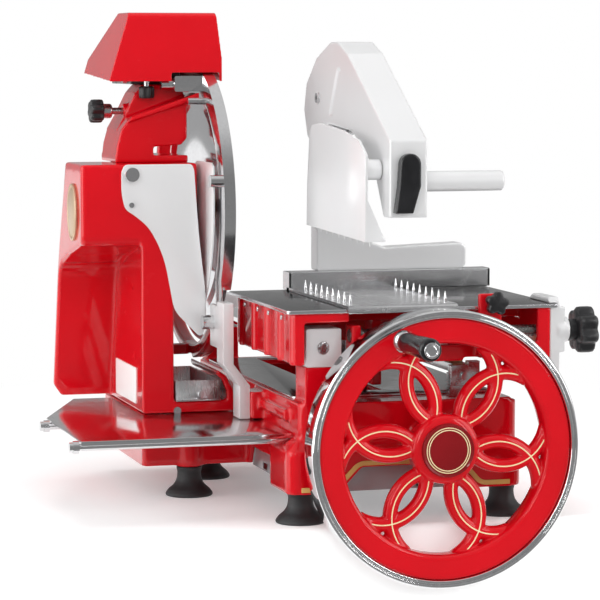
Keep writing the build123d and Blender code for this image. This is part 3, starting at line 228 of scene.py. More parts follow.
# enamel: colour, second shade
# metal: colour, roughness, stretch of the grain along x, y and z, its scale, its depth in metres
# moulded: colour, roughness, depth of the pebble in metres, colour of the scuffs
# satin_casting: colour, roughness, how metallic, then the grain as for metal
RED = enamel("red_enamel", (0.62, 0.002, 0.009), (0.54, 0.002, 0.007))
RED_WHEEL = enamel("red_enamel_wheel", (0.63, 0.002, 0.009), (0.53, 0.002, 0.007), ripple=0.0001)
BADGE_RED = enamel("badge_dark_red", (0.26, 0.006, 0.01), (0.17, 0.004, 0.006), rough=0.3, coat=0.6)
CREAM = enamel("cream_line", (0.83, 0.72, 0.46), (0.74, 0.6, 0.34), rough=0.35, coat=0.4)
GOLD = enamel("gold_line", (0.66, 0.42, 0.14), (0.56, 0.34, 0.1), rough=0.34, coat=0.5)
BADGE_GOLD = metal("badge_gold", (0.72, 0.52, 0.34), 0.3, (1, 1, 1), 700, 0.00001, metallic=0.8, pits=0.00001)
CHROME = metal("polished_chrome", (0.86, 0.86, 0.87), 0.05, grain_scale=240, depth=0.0000003, smear=0.03)
POLISHED = metal("polished_steel", (0.8, 0.8, 0.81), 0.11, (1, 0.03, 1), 700, 0.000003)
BLADE_STEEL = metal("blade_steel", (0.84, 0.84, 0.86), 0.07, (1, 1, 1), 420, 0.0000004, 0.03)
BRUSHED_Y = metal("brushed_steel_y", (0.75, 0.75, 0.76), 0.2, (1, 0.02, 1), 1600, 0.000006)
BRUSHED_Z = metal("brushed_steel_z", (0.78, 0.78, 0.79), 0.24, (1, 1, 0.02), 1500, 0.000006)
MACHINED = metal("machined_steel", (0.62, 0.62, 0.63), 0.24, (1, 1, 1), 1100, 0.000008, pits=0.000006)
DARK_STEEL = metal("oiled_dark_steel", (0.13, 0.125, 0.12), 0.3, (1, 1, 1), 800, 0.000012, pits=0.00001)
WHITE_CAST = satin_casting("pale_casting", (0.74, 0.74, 0.745), 0.32, 0.25)
WHITE_SHEET = satin_casting("pale_sheet", (0.84, 0.84, 0.845), 0.3, 0.3, (1, 1, 0.03), 500, 0.000002)
LABEL_WHITE = satin_casting("label_white", (0.9, 0.9, 0.89), 0.45, 0.0, (1, 1, 1), 700, 0.000004)
GREY_PAN = satin_casting("grey_pan", (0.42, 0.42, 0.43), 0.35, 0.6)
BLACK = moulded("black_plastic", (0.008, 0.008, 0.009), 0.34)
BLACK_GLOSS = moulded("black_gloss_plastic", (0.006, 0.006, 0.007), 0.16, 0.000008)
RUBBER = moulded("black_rubber", (0.012, 0.012, 0.013), 0.52, 0.00005, (0.12, 0.12, 0.12))
STONE = moulded("grinding_stone", (0.32, 0.3, 0.27), 0.8, 0.0002, (0.45, 0.43, 0.4))
BRONZE = metal("bronze_bush", (0.6, 0.36, 0.16), 0.3, (1, 1, 1), 900, 0.00001, pits=0.00001)
SCREW_STEEL = metal("oiled_screw_steel", (0.34, 0.33, 0.32), 0.22, (1, 1, 1), 800, 0.00001, pits=0.000008)
# deck steel whose up-facing faces carry painted shade in place of a dark reflection
DECK_PAINTED_DARK_TOP = deck_with_painted_dark_top("deck_painted_dark_top")


# ---- mesh helpers -------------------------------------------------------------------------------
def welded(node):
    """A CAD node's mesh as an editable one whose faces share their corners."""
    bm = bmesh.new()
    bm.from_mesh(NODES[node].data)
    bmesh.ops.remove_doubles(bm, verts=bm.verts, dist=WELD)
    return bm


def object_of(bm, name):
    """A new object from an editable mesh, which is used up."""
    mesh = bpy.data.meshes.new(name)
    bm.to_mesh(mesh)
    bm.free()
    obj = bpy.data.objects.new(name, mesh)
    bpy.context.scene.collection.objects.link(obj)
    return obj


def settle(obj):
    """Applies every modifier of a piece."""
    graph = bpy.context.evaluated_depsgraph_get()
    mesh = bpy.data.meshes.new_from_object(obj.evaluated_get(graph))
    obj.modifiers.clear()
    obj.data = mesh
    return obj


def finish_piece(obj, body, material, replaces=(), smooth=35):
    """Gives a piece its material and shading, and fastens it to its body."""
    obj.data.materials.clear()
    obj.data.materials.append(material)
    obj.data.polygons.foreach_set("use_smooth", [True] * len(obj.data.polygons))
    if smooth < 180:
        obj.data.set_sharp_from_angle(angle=math.radians(smooth))
    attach(obj, body)
    if replaces:
        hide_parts(*replaces)
    return obj


def soften(obj, voxel, rounds):
    """Rounds every corner: a fine voxel remesh, then some rounds of smoothing."""
    remesh = obj.modifiers.new("remesh", "REMESH")
    remesh.mode = "VOXEL"
    remesh.voxel_size = voxel * MM
    relax = obj.modifiers.new("relax", "SMOOTH")
    relax.iterations = rounds
    return settle(obj)


def cast(node, material, voxel, rounds):
    """A CAD casting with its corners softened as a sand casting's are."""
    obj = soften(object_of(welded(node), node + "_cast"), voxel, rounds)
    return finish_piece(obj, BODY_OF[node], material, (node,), 180)


def add_bevel(obj, width, angle):
    """Bevels a piece's corners that are sharper than an angle in degrees."""
    bevel = obj.modifiers.new("bevel", "BEVEL")
    bevel.width = width * MM
    bevel.segments = 3
    bevel.limit_method = "ANGLE"
    bevel.angle_limit = math.radians(angle)


def bevelled(node, material, width):
    """A machined or folded part with small true bevels on its corners; its flat faces are merged first."""
    obj = object_of(welded(node), node + "_shape")
    bm = bmesh.new()
    bm.from_mesh(obj.data)
    bmesh.ops.dissolve_limit(bm, angle_limit=math.radians(0.6), verts=bm.verts, edges=bm.edges)
    bm.to_mesh(obj.data)
    bm.free()
    add_bevel(obj, width, 32)
    normals = obj.modifiers.new("normals", "WEIGHTED_NORMAL")
    normals.keep_sharp = True
    settle(obj)
    return finish_piece(obj, BODY_OF[node], material, (node,), 40)


def object_from(name, verts, faces):
    """A new object from corners in millimetres, with its faces turned outward."""
    mesh = bpy.data.meshes.new(name)
    mesh.from_pydata([Vector(v) * MM for v in verts], [], faces)
    bm = bmesh.new()
    bm.from_mesh(mesh)
    bmesh.ops.recalc_face_normals(bm, faces=bm.faces)
    bm.to_mesh(mesh)
    bm.free()
    obj = bpy.data.objects.new(name, mesh)
    bpy.context.scene.collection.objects.link(obj)
    return obj


def joined(name, objects):
    """One object from several."""
    bm = bmesh.new()
    for obj in objects:
        bm.from_mesh(obj.data)
        bpy.data.objects.remove(obj)
    return object_of(bm, name)


def rounded_path(points, radius, steps=5, closed=False):
    """A polyline with its corners turned into short curves."""
    out = []
    count = len(points)
    for i, point in enumerate(points):
        here = Vector(point)
        if not closed and i in (0, count - 1):
            out.append(here)
            continue
        before, after = Vector(points[i - 1]), Vector(points[(i + 1) % count])
        a, b = before - here, after - here
        reach = min(radius, a.length * 0.45, b.length * 0.45)
        start, end = here + a.normalized() * reach, here + b.normalized() * reach
        for k in range(steps + 1):
            t = k / steps
            out.append(start * (1 - t) ** 2 + here * 2 * t * (1 - t) + end * t * t)
    return out


# for each axis of turning: two directions across it, then the axis itself
AXES = {
    "x": (Vector((0, 1, 0)), Vector((0, 0, 1)), Vector((1, 0, 0))),
    "y": (Vector((0, 0, 1)), Vector((1, 0, 0)), Vector((0, 1, 0))),
    "z": (Vector((1, 0, 0)), Vector((0, 1, 0)), Vector((0, 0, 1))),
}


def lathe(name, profile, centre, axis, segments=96, corner=0.8, steps=4):
    """Turned solid. The profile holds (radius, distance along the axis); off the axis it closes on itself.

    Its corners are rounded by the given radius in a number of steps.
    """
    closed = profile[0][0] > 0 or profile[-1][0] > 0
    path = rounded_path(profile, corner, steps, closed) if corner else [Vector(p) for p in profile]
    side, up, along = AXES[axis]
    origin = Vector(centre)
    verts, rings = [], []
    for r, h in path:
        if r < ON_AXIS:
            rings.append([len(verts)])
            verts.append(origin + along * h)
            continue
        ring = []
        for k in range(segments):
            a = 2 * math.pi * k / segments
            ring.append(len(verts))
            verts.append(origin + along * h + (side * math.cos(a) + up * math.sin(a)) * r)
        rings.append(ring)
    faces = []
    pairs = list(zip(rings, rings[1:])) + ([(rings[-1], rings[0])] if closed else [])
    for low, high in pairs:
        for k in range(segments):
            n = (k + 1) % segments
            if len(low) == 1 and len(high) == 1:
                break
            if len(low) == 1:
                faces.append((low[0], high[n], high[k]))
            elif len(high) == 1:
                faces.append((low[k], low[n], high[0]))
            else:
                faces.append((low[k], low[n], high[n], high[k]))
    return object_from(name, verts, faces)


def tube(name, path, radius, closed=False, segments=12, flat=1.0):
    """Bead along a path in a plane that faces along y; flat is its share of full height."""
    normal = Vector((0, 1, 0))
    verts, faces = [], []
    points = [Vector(p) for p in path]
    count = len(points)
    for i, here in enumerate(points):
        before = points[i - 1] if closed or i else here
        after = points[(i + 1) % count] if closed or i < count - 1 else here
        ahead = (after - before).normalized()
        across = ahead.cross(normal).normalized()
        for k in range(segments):
            a = 2 * math.pi * k / segments
            verts.append(here + across * radius * math.cos(a) + normal * radius * flat * math.sin(a))
    for i in range(count if closed else count - 1):
        j = (i + 1) % count
        for k in range(segments):
            n = (k + 1) % segments
            faces.append((i * segments + k, i * segments + n, j * segments + n, j * segments + k))
    if not closed:
        faces.append(tuple(range(segments)))
        faces.append(tuple(range((count - 1) * segments, count * segments)))
    return object_from(name, verts, faces)


def outline_push(name, outline, axis, low, high, corner=0.0, steps=4):
    """Closed outline pushed along an axis; its points hold the other two coordinates in x, y, z order."""
    path = rounded_path(outline, corner, steps, True) if corner else [Vector(p) for p in outline]
    place = "xyz".index(axis)
    verts = []
    for height in (low, high):
        for point in path:
            corner_point = [point[0], point[1]]
            corner_point.insert(place, height)
            verts.append(corner_point)
    count = len(path)
    faces = [tuple(range(count)), tuple(range(count, 2 * count))]
    for k in range(count):
        n = (k + 1) % count
        faces.append((k, n, count + n, count + k))
    return object_from(name, verts, faces)


def edge_bevel(obj, width):
    """Small true bevels on a hand-built piece."""
    add_bevel(obj, width, 30)
    return settle(obj)


def node_mm(node):
    """A CAD node's lowest and highest corners, in millimetres."""
    low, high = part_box(node)
    return low / MM, high / MM


def middle(low, high):
    """The point halfway between two corners."""
    return (low + high) / 2


# ---- flywheel -----------------------------------------------------------------------------------
wheel_low, wheel_high = node_mm("flywheel_band")
WHEEL_X, WHEEL_Y, WHEEL_Z = middle(wheel_low, wheel_high)
WHEEL_R = (wheel_high.x - wheel_low.x) / 2
WHEEL_HALF = (wheel_high.y - wheel_low.y) / 2
RIM_OUT, RIM_IN = WHEEL_R - 9, WHEEL_R - 36
PETALS = 6
PETAL_PHASE = 53.0  # degrees from +X to the first petal
PETAL_REACH, PETAL_DROP = 65.0, 36.5  # from the hub's centre to the centre of a rib's arc
PETAL_R = 50.0
RIB_R = 8.2


def wheel_point(x, z, y):
    """A point given in the wheel's own plane, at depth y."""
    return Vector((WHEEL_X + x, y, WHEEL_Z + z))


def petal_arc(angle, side, start, end, steps, y):
    """Points along one rib of a petal."""
    points = []
    turn = math.radians(angle)
    for k in range(steps + 1):
        a = math.radians(start + (end - start) * k / steps)
        outward = PETAL_REACH - PETAL_R * math.cos(a)
        sideways = side * (PETAL_R * math.sin(a) - PETAL_DROP)
        x = outward * math.cos(turn) - sideways * math.sin(turn)
        z = outward * math.sin(turn) + sideways * math.cos(turn)
        points.append(wheel_point(x, z, y))
    return points


def petal_lines(start, end, steps, y, radius, segments, flat):
    """One bead along each of the twelve petal ribs."""
    beads = []
    for k in range(PETALS):
        for side in (1, -1):
            arc = petal_arc(PETAL_PHASE + 360 / PETALS * k, side, start, end, steps, y)
            beads.append(tube("rib", arc, radius, segments=segments, flat=flat))
    return beads


def build_wheel_casting():
    """Rim, hub and round petal ribs grown together as one casting, with gold lines along the ribs."""
    half = WHEEL_HALF - 3
    rim = [(RIM_IN, -half + 3), (RIM_IN + 3.5, -half), (RIM_OUT, -half), (RIM_OUT, half),
           (RIM_IN + 3.5, half), (RIM_IN, half - 3), (RIM_IN - 1.5, 0)]
    hub = [(0, -15), (30, -15), (38, -11), (38, 11), (30, 15), (0, 15)]
    centre = (WHEEL_X, WHEEL_Y, WHEEL_Z)
    parts = [lathe("rim", rim, centre, "y", 240, 3), lathe("hub", hub, centre, "y", 128, 4)]
    parts += petal_lines(22, 176, 28, WHEEL_Y, RIB_R, 24, 1.0)
    wheel = soften(joined("flywheel_casting", parts), 1.05, 7)
    finish_piece(wheel, "flywheel", RED_WHEEL, ("flywheel_red",), 180)

    lines = petal_lines(38, 163, 44, WHEEL_Y - RIB_R + 0.15, 0.75, 8, 0.6)
    finish_piece(joined("petal_pinstripes", lines), "flywheel", CREAM, smooth=60)


def build_tyre():
    """Chrome band round the rim, with a shallow groove in its front and rolled corners."""
    w = WHEEL_HALF
    tyre = [(RIM_OUT, -w + 1.5), (RIM_OUT + 0.8, -w), (RIM_OUT + 3.2, -w), (RIM_OUT + 3.6, -w + 1.3),
            (RIM_OUT + 4.8, -w + 1.3), (RIM_OUT + 5.2, -w), (WHEEL_R - 1.6, -w + 0.4), (WHEEL_R, -w + 2.4),
            (WHEEL_R, w - 2.4), (WHEEL_R - 1.6, w), (RIM_OUT, w)]
    band = lathe("flywheel_tyre", tyre, (WHEEL_X, WHEEL_Y, WHEEL_Z), "y", 256, 0.7, 3)
    finish_piece(band, "flywheel", CHROME, ("flywheel_band",), 50)


def build_hub_badge():
    """Blank domed badge with two raised rings."""
    low, high = node_mm("hub_badge")
    disc = [(0, low.y + 1.0), (16, low.y + 1.3), (26.5, low.y + 1.8), (28.6, low.y + 0.2),
            (29, low.y + 1.4), (29, high.y), (0, high.y)]
    badge = lathe("hub_badge_plate", disc, (WHEEL_X, 0, WHEEL_Z), "y", 128, 0.6)
    finish_piece(badge, "flywheel", BADGE_RED, ("hub_badge",))
    rings = []
    for radius, lift in ((22.0, 1.25), (24.4, 1.45)):
        circle = []
        for k in range(128):
            a = 2 * math.pi * k / 128
            circle.append(wheel_point(radius * math.cos(a), radius * math.sin(a), low.y + lift))
        rings.append(tube("ring", circle, 0.55, True, 8, flat=0.6))
    finish_piece(joined("hub_badge_rings", rings), "flywheel", CREAM, smooth=60)


def build_grip():
    """Waisted grip that turns on a steel pin with a ringed end cap."""
    low, high = node_mm("crank_grip")
    x, _, z = middle(low, high)
    barrel = [(5.2, high.y), (10, high.y), (11.6, high.y - 10), (11, high.y - 30), (12.4, low.y + 15),
              (12.5, low.y + 4), (11, low.y), (5.2, low.y)]
    grip = lathe("crank_grip_barrel", barrel, (x, 0, z), "y", 96, 3, 6)
    finish_piece(grip, "grip", BLACK_GLOSS, ("crank_grip",))
    low, high = node_mm("crank_pin")
    profile = [(0, low.y + 0.6), (4.2, low.y + 0.6), (5.4, low.y + 1.2), (6.6, low.y), (8.3, low.y),
               (8.5, low.y + 1), (8.5, low.y + 3), (5, low.y + 3), (5, high.y - 7), (10, high.y - 6),
               (12.6, high.y - 2), (12.6, high.y), (0, high.y)]
    pin = lathe("crank_pin_steel", profile, (x, 0, z), "y", 96, 0.5)
    finish_piece(pin, "flywheel", CHROME, ("crank_pin",))


# ---- round parts --------------------------------------------------------------------------------
def build_feet():
    """Rubber bells, one per foot, found from the separate shells of the CAD node."""
    profile = [(0, 0.4), (14, 0.4), (15, 0), (26.6, 0), (27.4, 1.2), (27.2, 3.2), (24, 7.6), (18.5, 12),
               (15.2, 17), (13.9, 22), (13.6, 28), (14.6, 31), (14.6, 34), (0, 34)]
    for number, (x, y) in enumerate(shell_centres("rubber_feet")):
        foot = lathe(f"rubber_foot_{number}", profile, (x, y, 0), "z", 72, 2.2, 5)
        finish_piece(foot, "frame", RUBBER, ("rubber_feet",) if number == 0 else ())


def shell_centres(node):
    """Middle (x, y) of each separate shell of a CAD node, in millimetres."""
    bm = welded(node)
    seen, centres = set(), []
    for vert in bm.verts:
        if vert in seen:
            continue
        group, todo = [], [vert]
        seen.add(vert)
        while todo:
            here = todo.pop()
            group.append(here.co.copy())
            for edge in here.link_edges:
                other = edge.other_vert(here)
                if other not in seen:
                    seen.add(other)
                    todo.append(other)
        xs, ys = [c.x for c in group], [c.y for c in group]
        centres.append(((min(xs) + max(xs)) / 2 / MM, (min(ys) + max(ys)) / 2 / MM))
    bm.free()
    return sorted(centres)


def build_blade():
    """Hollow-ground disc: stepped web, ground bevel and fine edge."""
    low, high = node_mm("blade")
    _, y, z = middle(low, high)
    r = (high.z - low.z) / 2
    x0, x1 = low.x, high.x
    profile = [(22, x0), (118, x0), (121, x0 + 0.6), (128, x0 + 1.8), (146, x0 + 1.8), (r - 0.2, x1 - 0.35),
               (r, x1 - 0.1), (r - 0.2, x1), (128, x1), (124, x1 - 0.5), (118, x1 - 0.8), (104, x1 - 0.5),
               (100, x1), (22, x1)]
    disc = lathe("blade_disc", profile, (0, y, z), "x", 320, 1.0, 3)
    finish_piece(disc, "blade_group", BLADE_STEEL, ("blade",), 25)


def knob(name, body, centre, direction, material, replaces, length, radius, lobes, depth):
    """Lobed hand knob: a wavy outline lofted along its axis with rolled ends.

    Each section is a share of the knob's length and a share of its radius.
    """
    along = Vector(direction).normalized()
    side = along.orthogonal().normalized()
    up = along.cross(side)
    sections = [(0.0, 0.78), (0.04, 0.9), (0.12, 0.98), (0.3, 1.0), (0.7, 1.0), (0.88, 0.98), (0.96, 0.9),
                (1.0, 0.76)]
    count = lobes * 16
    start = Vector(centre)
    verts, faces = [], []
    for height, scale in sections:
        level = start + along * length * height
        for k in range(count):
            a = 2 * math.pi * k / count
            wave = 1 - depth * (0.5 - 0.5 * math.cos(lobes * a)) ** 1.4
            r = radius * scale * wave
            verts.append(level + (side * math.cos(a) + up * math.sin(a)) * r)
    last = len(sections) - 1
    for s in range(last):
        for k in range(count):
            n = (k + 1) % count
            faces.append((s * count + k, s * count + n, (s + 1) * count + n, (s + 1) * count + k))
    verts.append(start + along * (length * 0.03))
    verts.append(start + along * (length * 0.97))
    for k in range(count):
        n = (k + 1) % count
        faces.append((k, n, len(verts) - 2))
        faces.append((last * count + k, last * count + n, len(verts) - 1))
    obj = object_from(name, verts, faces)
    return finish_piece(obj, body, material, replaces, 50)


def build_feed_knob():
    low, high = node_mm("feed_knob")
    _, y, z = middle(low, high)
    place = (high.x - 22, y, z)
    knob("feed_hand_knob", "feed_drive", place, (1, 0, 0), BLACK, ("feed_knob",),
         length=22, radius=26, lobes=7, depth=0.2)
    collar = [(7, low.x), (12, low.x), (12, low.x + 8), (13, low.x + 11), (7, low.x + 11)]
    finish_piece(lathe("feed_knob_collar", collar, (0, y, z), "x", 64, 0.8), "feed_drive", BLACK)


def build_thickness_knob():
    low, high = node_mm("setting_knob")
    x, _, z = middle(low, high)
    place = (x, low.y + 12, z)
    knob("thickness_star_knob", "setting", place, (0, -1, 0), BLACK, ("setting_knob",),
         length=12, radius=13, lobes=5, depth=0.26)
    stem = [(0, low.y + 11), (9, low.y + 11), (9, low.y + 14), (4, low.y + 14.5), (4, high.y), (0, high.y)]
    finish_piece(lathe("thickness_knob_stem", stem, (x, 0, z), "y", 48, 0.6), "setting", POLISHED)


def build_lock_knob():
    low, high = node_mm("lock_knob")
    _, y, z = middle(low, high)
    place = (low.x, y, z)
    knob("sharpener_lock_knob", "lock", place, (1, 0, 0), BLACK, ("lock_knob",),
         length=16, radius=14, lobes=6, depth=0.22)
    collar = [(0, low.x + 15), (8.5, low.x + 15), (8.5, low.x + 24), (7.5, low.x + 26), (4, low.x + 26),
              (4, high.x), (0, high.x)]
    finish_piece(lathe("lock_knob_stem", collar, (0, y, z), "x", 48, 0.7), "lock", MACHINED)


def build_honing_knob():
    low, high = node_mm("sharpener_knob")
    x, y, _ = middle(low, high)
    place = (x, y, low.z)
    knob("honing_knob", "hone_knob", place, (0, 0, 1), BLACK, ("sharpener_knob",),
         length=14, radius=9, lobes=6, depth=0.16)
    stem = [(0, low.z + 13), (3, low.z + 13), (3, high.z), (0, high.z)]
    finish_piece(lathe("honing_knob_stem", stem, (x, y, 0), "z", 32, 0.4), "hone_knob", MACHINED)


# ---- trim ---------------------------------------------------------------------------------------
def strip_y(name, centre_line, half, y0, y1):
    """Flat band in a plane facing -Y, following a line of (x, z) points."""
    low, high = [], []
    for i, point in enumerate(centre_line):
        here = Vector(point)
        before = Vector(centre_line[max(i - 1, 0)])
        after = Vector(centre_line[min(i + 1, len(centre_line) - 1)])
        along = (after - before).normalized()
        across = Vector((-along.y, along.x)) * half
        low.append(here - across)
        high.append(here + across)
    return outline_push(name, low + high[::-1], "y", y0, y1)


def build_stripes():
    """Gold line along the foot of the plinth and over its front arch."""
    low, high = node_mm("base_casting")
    plinth_left, plinth_right = low.x + 109, high.x
    foot, over_arch = 39.5, 66.5
    path = [(plinth_left + 14, foot), (32, foot), (58, over_arch), (174, over_arch), (198, foot),
            (plinth_right - 16, foot)]
    front = strip_y("gold", rounded_path(path, 7, 5), 2.6, low.y + 0.1, low.y + 1.2)
    return finish_piece(edge_bevel(front, 0.2), "frame", GOLD, smooth=40)


def build_deflector():
    """Slice deflector sheet with a flowing outline."""
    low, high = node_mm("deflector")
    outline = [(-154, 376), (-150, 384), (-72, 384), (-69, 378), (-64, 304), (-55.5, 231), (-55.5, 196),
               (-62, 184), (-78, 200), (-93, 216), (-97.5, 241), (-103, 270), (-111, 292), (-123, 313),
               (-139, 326), (-150, 333), (-154, 351)]
    sheet = outline_push("deflector_sheet", outline, "y", low.y, high.y, 40, 6)
    finish_piece(edge_bevel(sheet, 0.4), "frame", WHITE_SHEET, ("deflector",), 40)


def build_label():
    """Blank data plate on the tower's left wall."""
    wall = -130.4
    front, back, bottom, top = 238, 350, 105, 147
    outline = [(front, bottom), (back, bottom), (back, top), (front, top)]
    plate = outline_push("data_plate", outline, "x", wall - 0.7, wall + 0.6, 3, 4)
    finish_piece(edge_bevel(plate, 0.25), "frame", LABEL_WHITE, smooth=40)


def slotted_screw(name, body, centre, direction, material, radius, height):
    """Domed screw head with a cut slot."""
    profile = [(0, height * 0.9), (radius * 0.6, height * 0.86), (radius * 0.92, height * 0.55),
               (radius, 0.05), (radius, -1), (0, -1)]
    head = lathe(name, profile, (0, 0, 0), "z", 48, radius * 0.15, 3)
    reach, half = radius * 1.2, radius * 0.13
    slot = [(-reach, -half), (reach, -half), (reach, half), (-reach, half)]
    cutter = outline_push("slot", slot, "z", height * 0.4, height * 2)
    cut = head.modifiers.new("slot", "BOOLEAN")
    cut.object = cutter
    cut.operation = "DIFFERENCE"
    settle(head)
    bpy.data.objects.remove(cutter)
    turn = Vector(direction).to_track_quat("Z", "Y").to_matrix().to_4x4()
    head.data.transform(Matrix.Translation(Vector(centre) * MM) @ turn)
    return finish_piece(head, body, material, smooth=40)


def build_screws():
    """Screws in the front rod block, under the deck's left edge and in the carriage's end bracket."""
    low, high = node_mm("rod_blocks")
    x, _, z = middle(low, high)
    place = (x, low.y - 0.2, z)
    slotted_screw("rod_block_screw", "frame", place, (0.25, -1, 0.0), MACHINED, radius=7.4, height=1.6)
    low, _ = node_mm("carriage_casting")
    deck_low, _ = node_mm("carriage_table")
    for number, y in enumerate((4, 58, 104, 160)):
        place = (low.x + 0.6, y, deck_low.z - 7)
        slotted_screw(f"carriage_side_screw_{number}", "carriage", place, (-1, 0, 0.1), POLISHED,
                      radius=2.9, height=1.4)
    low, _ = node_mm("end_bracket")
    for number, (y, z) in enumerate(((10, 225), (22, 195), (8, 150))):
        place = (low.x + 12.2, y, z)
        slotted_screw(f"bracket_screw_{number}", "carriage", place, (1, 0, 0.2), POLISHED,
                      radius=4, height=2)


def thread_ridge(x0, x1, y, z, pitch, root, outer):
    """A trapezoid ridge wound round an axis along +X."""
    steps = 24
    sides = ((root, -1.5), (outer, -0.5), (outer, 0.5), (root, 1.5))
    count = int((x1 - x0) / pitch * steps)
    verts, faces = [], []
    for i in range(count + 1):
        a = 2 * math.pi * i / steps
        x = x0 + pitch * i / steps
        for r, shift in sides:
            verts.append((x + shift, y + r * math.cos(a), z + r * math.sin(a)))
    for i in range(count):
        for k in range(4):
            n = (k + 1) % 4
            faces.append((i * 4 + k, i * 4 + n, i * 4 + 4 + n, i * 4 + 4 + k))
    faces += [(0, 1, 2, 3), tuple(count * 4 + k for k in range(4))]
    return object_from("thread", verts, faces)


def build_feed_screw():
    """Feed screw with its thread between the plain journals."""
    low, high = node_mm("feed_screw")
    _, y, z = middle(low, high)
    outer, root = 6.9, 5.9
    thread_start, thread_end = low.x + 16, 262.0
    thread = thread_ridge(thread_start, thread_end, y, z, 4.0, root - 0.6, outer)
    profile = [(0, low.x), (outer, low.x), (outer, thread_start - 4), (root, thread_start - 3),
               (root, thread_end + 1), (outer, thread_end + 2), (outer, high.x), (0, high.x)]
    core = lathe("core", profile, (0, y, z), "x", 48, 0.4)
    ring = [(6, low.x + 11), (9, low.x + 11), (9, low.x + 14.5), (6, low.x + 14.5)]
    collar = lathe("collar", ring, (0, y, z), "x", 48, 0.5)
    screw = joined("feed_screw_threaded", [core, thread, collar])
    finish_piece(screw, "feed_drive", SCREW_STEEL, ("feed_screw",), 40)


def build_meat_plate():
    """Toothed plate: ridged floor, rolled front lip and the tall rear rail folded from one sheet."""
    low, high = node_mm("meat_plate")
    left, right = low.x, 164.0
    front, back = -44.0, 200.0
    under, top, rib_pitch = 236.5, 240.0, 2.6
    profile = [(right, under), (left, under), (left, top)]
    x = left + 3
    while x < right - 4:
        profile += [(x, top), (x + 0.5, top - 0.55), (x + 1.0, top)]
        x += rib_pitch
    profile.append((right, top))
    floor = outline_push("floor_sheet", profile, "y", front, back)
    lip_line = [(-43.9, under), (-43.9, top), (-48, top - 1.5), (-49.4, top - 5), (-49.4, 231.6),
                (-47, 231.6), (-47, top - 5.4), (-45.2, under + 0.4)]
    lip = outline_push("lip", lip_line, "x", left, right, 1.2, 4)
    near, far, sheet = 190.0, 216.0, 3.0
    section = [(near, under), (near, high.z), (far, high.z), (far, under), (far - sheet, under),
               (far - sheet, high.z - sheet), (near + sheet, high.z - sheet), (near + sheet, under)]
    rail = outline_push("rail", section, "x", left + 0.5, high.x - 0.5, 1.4, 4)
    cap = [(near, under), (far, under), (far, high.z), (near, high.z)]
    ends = [outline_push("end", cap, "x", x, x + 2.4, 1.4, 4) for x in (left, high.x - 2.4)]
    plate = joined("meat_plate_sheet", [floor, lip, rail, *ends])
    finish_piece(plate, "feed_plate", BRUSHED_Y, ("meat_plate",), 35)


# CAD nodes that keep their shape, by material
CARRIED = {
    POLISHED: ("fixed_fasteners", "tray_rods", "arm_pivot_pin", "plate_spikes", "deflector_screws"),
    CHROME: ("guide_rod",),
    MACHINED: ("blade_spindle", "cross_shaft", "crank_disc", "flywheel_shaft", "rocker_arm", "stone_spindle"),
    DARK_STEEL: ("drive_chain", "blade_screws", "spindle_sprocket", "cross_sprocket", "driven_bevel",
                 "driving_bevel"),
    BRONZE: ("shaft_bearings", "sliding_bushes", "feed_nut"),
    STONE: ("grinding_stone",),
}


def carry_over():
    """Materials for the CAD nodes whose shape stays."""
    for material, nodes in CARRIED.items():
        for node in nodes:
            mesh = NODES[node].data
            mesh.materials.clear()
            mesh.materials.append(material)
            mesh.polygons.foreach_set("use_smooth", [True] * len(mesh.polygons))


build_wheel_casting()
build_tyre()
build_hub_badge()
build_grip()
build_feet()
build_blade()
build_feed_knob()
build_thickness_knob()
build_lock_knob()
build_honing_knob()
build_stripes()
build_deflector()
build_label()
build_screws()
build_feed_screw()
build_meat_plate()
carry_over()

# node, material, voxel size in millimetres and rounds of smoothing
CAST = (
    ("base_casting", RED, 2.0, 6), ("tower_casting", RED, 1.7, 10), ("neck_casting", RED, 1.2, 8),
    ("sharpener_hood", RED, 1.0, 4), ("rear_guard", RED, 1.4, 6), ("carriage_casting", RED, 1.5, 4),
    ("sharpener_body", DARK_STEEL, 1.2, 4), ("holder_arm", WHITE_CAST, 1.2, 5),
    ("holder_bracket", WHITE_CAST, 1.2, 6), ("end_bracket", WHITE_CAST, 1.2, 5),
    ("arm_lever", BLACK_GLOSS, 0.7, 5),
)
# node, material and bevel width in millimetres
BEVELLED = (
    ("base_top_plate", DECK_PAINTED_DARK_TOP, 0.6), ("bottom_pan", GREY_PAN, 0.4), ("guard_ring", POLISHED, 0.6),
    ("guard_post", WHITE_CAST, 1.2), ("blade_cover", WHITE_SHEET, 0.5), ("rod_blocks", WHITE_CAST, 1.6),
    ("support_rail", BRUSHED_Y, 0.8), ("oval_badge", BADGE_GOLD, 0.4), ("slice_tray", POLISHED, 0.6),
    ("carriage_table", DECK_PAINTED_DARK_TOP, 0.8), ("press_plate", WHITE_SHEET, 0.5), ("arm_handle", WHITE_CAST, 0.4),
    ("crumb_drawer", BRUSHED_Z, 0.4),
)
for node, material, voxel, rounds in CAST:
    cast(node, material, voxel, rounds)
for node, material, width in BEVELLED:
    bevelled(node, material, width)


# ---- stage, light and camera --------------------------------------------------------------------
STAGE_GLOW = 0.2
FADE_START, FADE_END = 0.55, 1.3  # metres from the slicer over which the counter turns to plain white
FLOOR_DIM = 0.75  # how much the floor in front is darkened in reflections
# brightness of the room in reflections; ROOM_FILL is the even light that falls on surfaces
ROOM_LEFT, ROOM_ROUND, ROOM_RIGHT, ROOM_TOP, ROOM_FRONT, ROOM_FILL = 1.0, 0.38, 0.25, 0.3, 0.62, 0.5


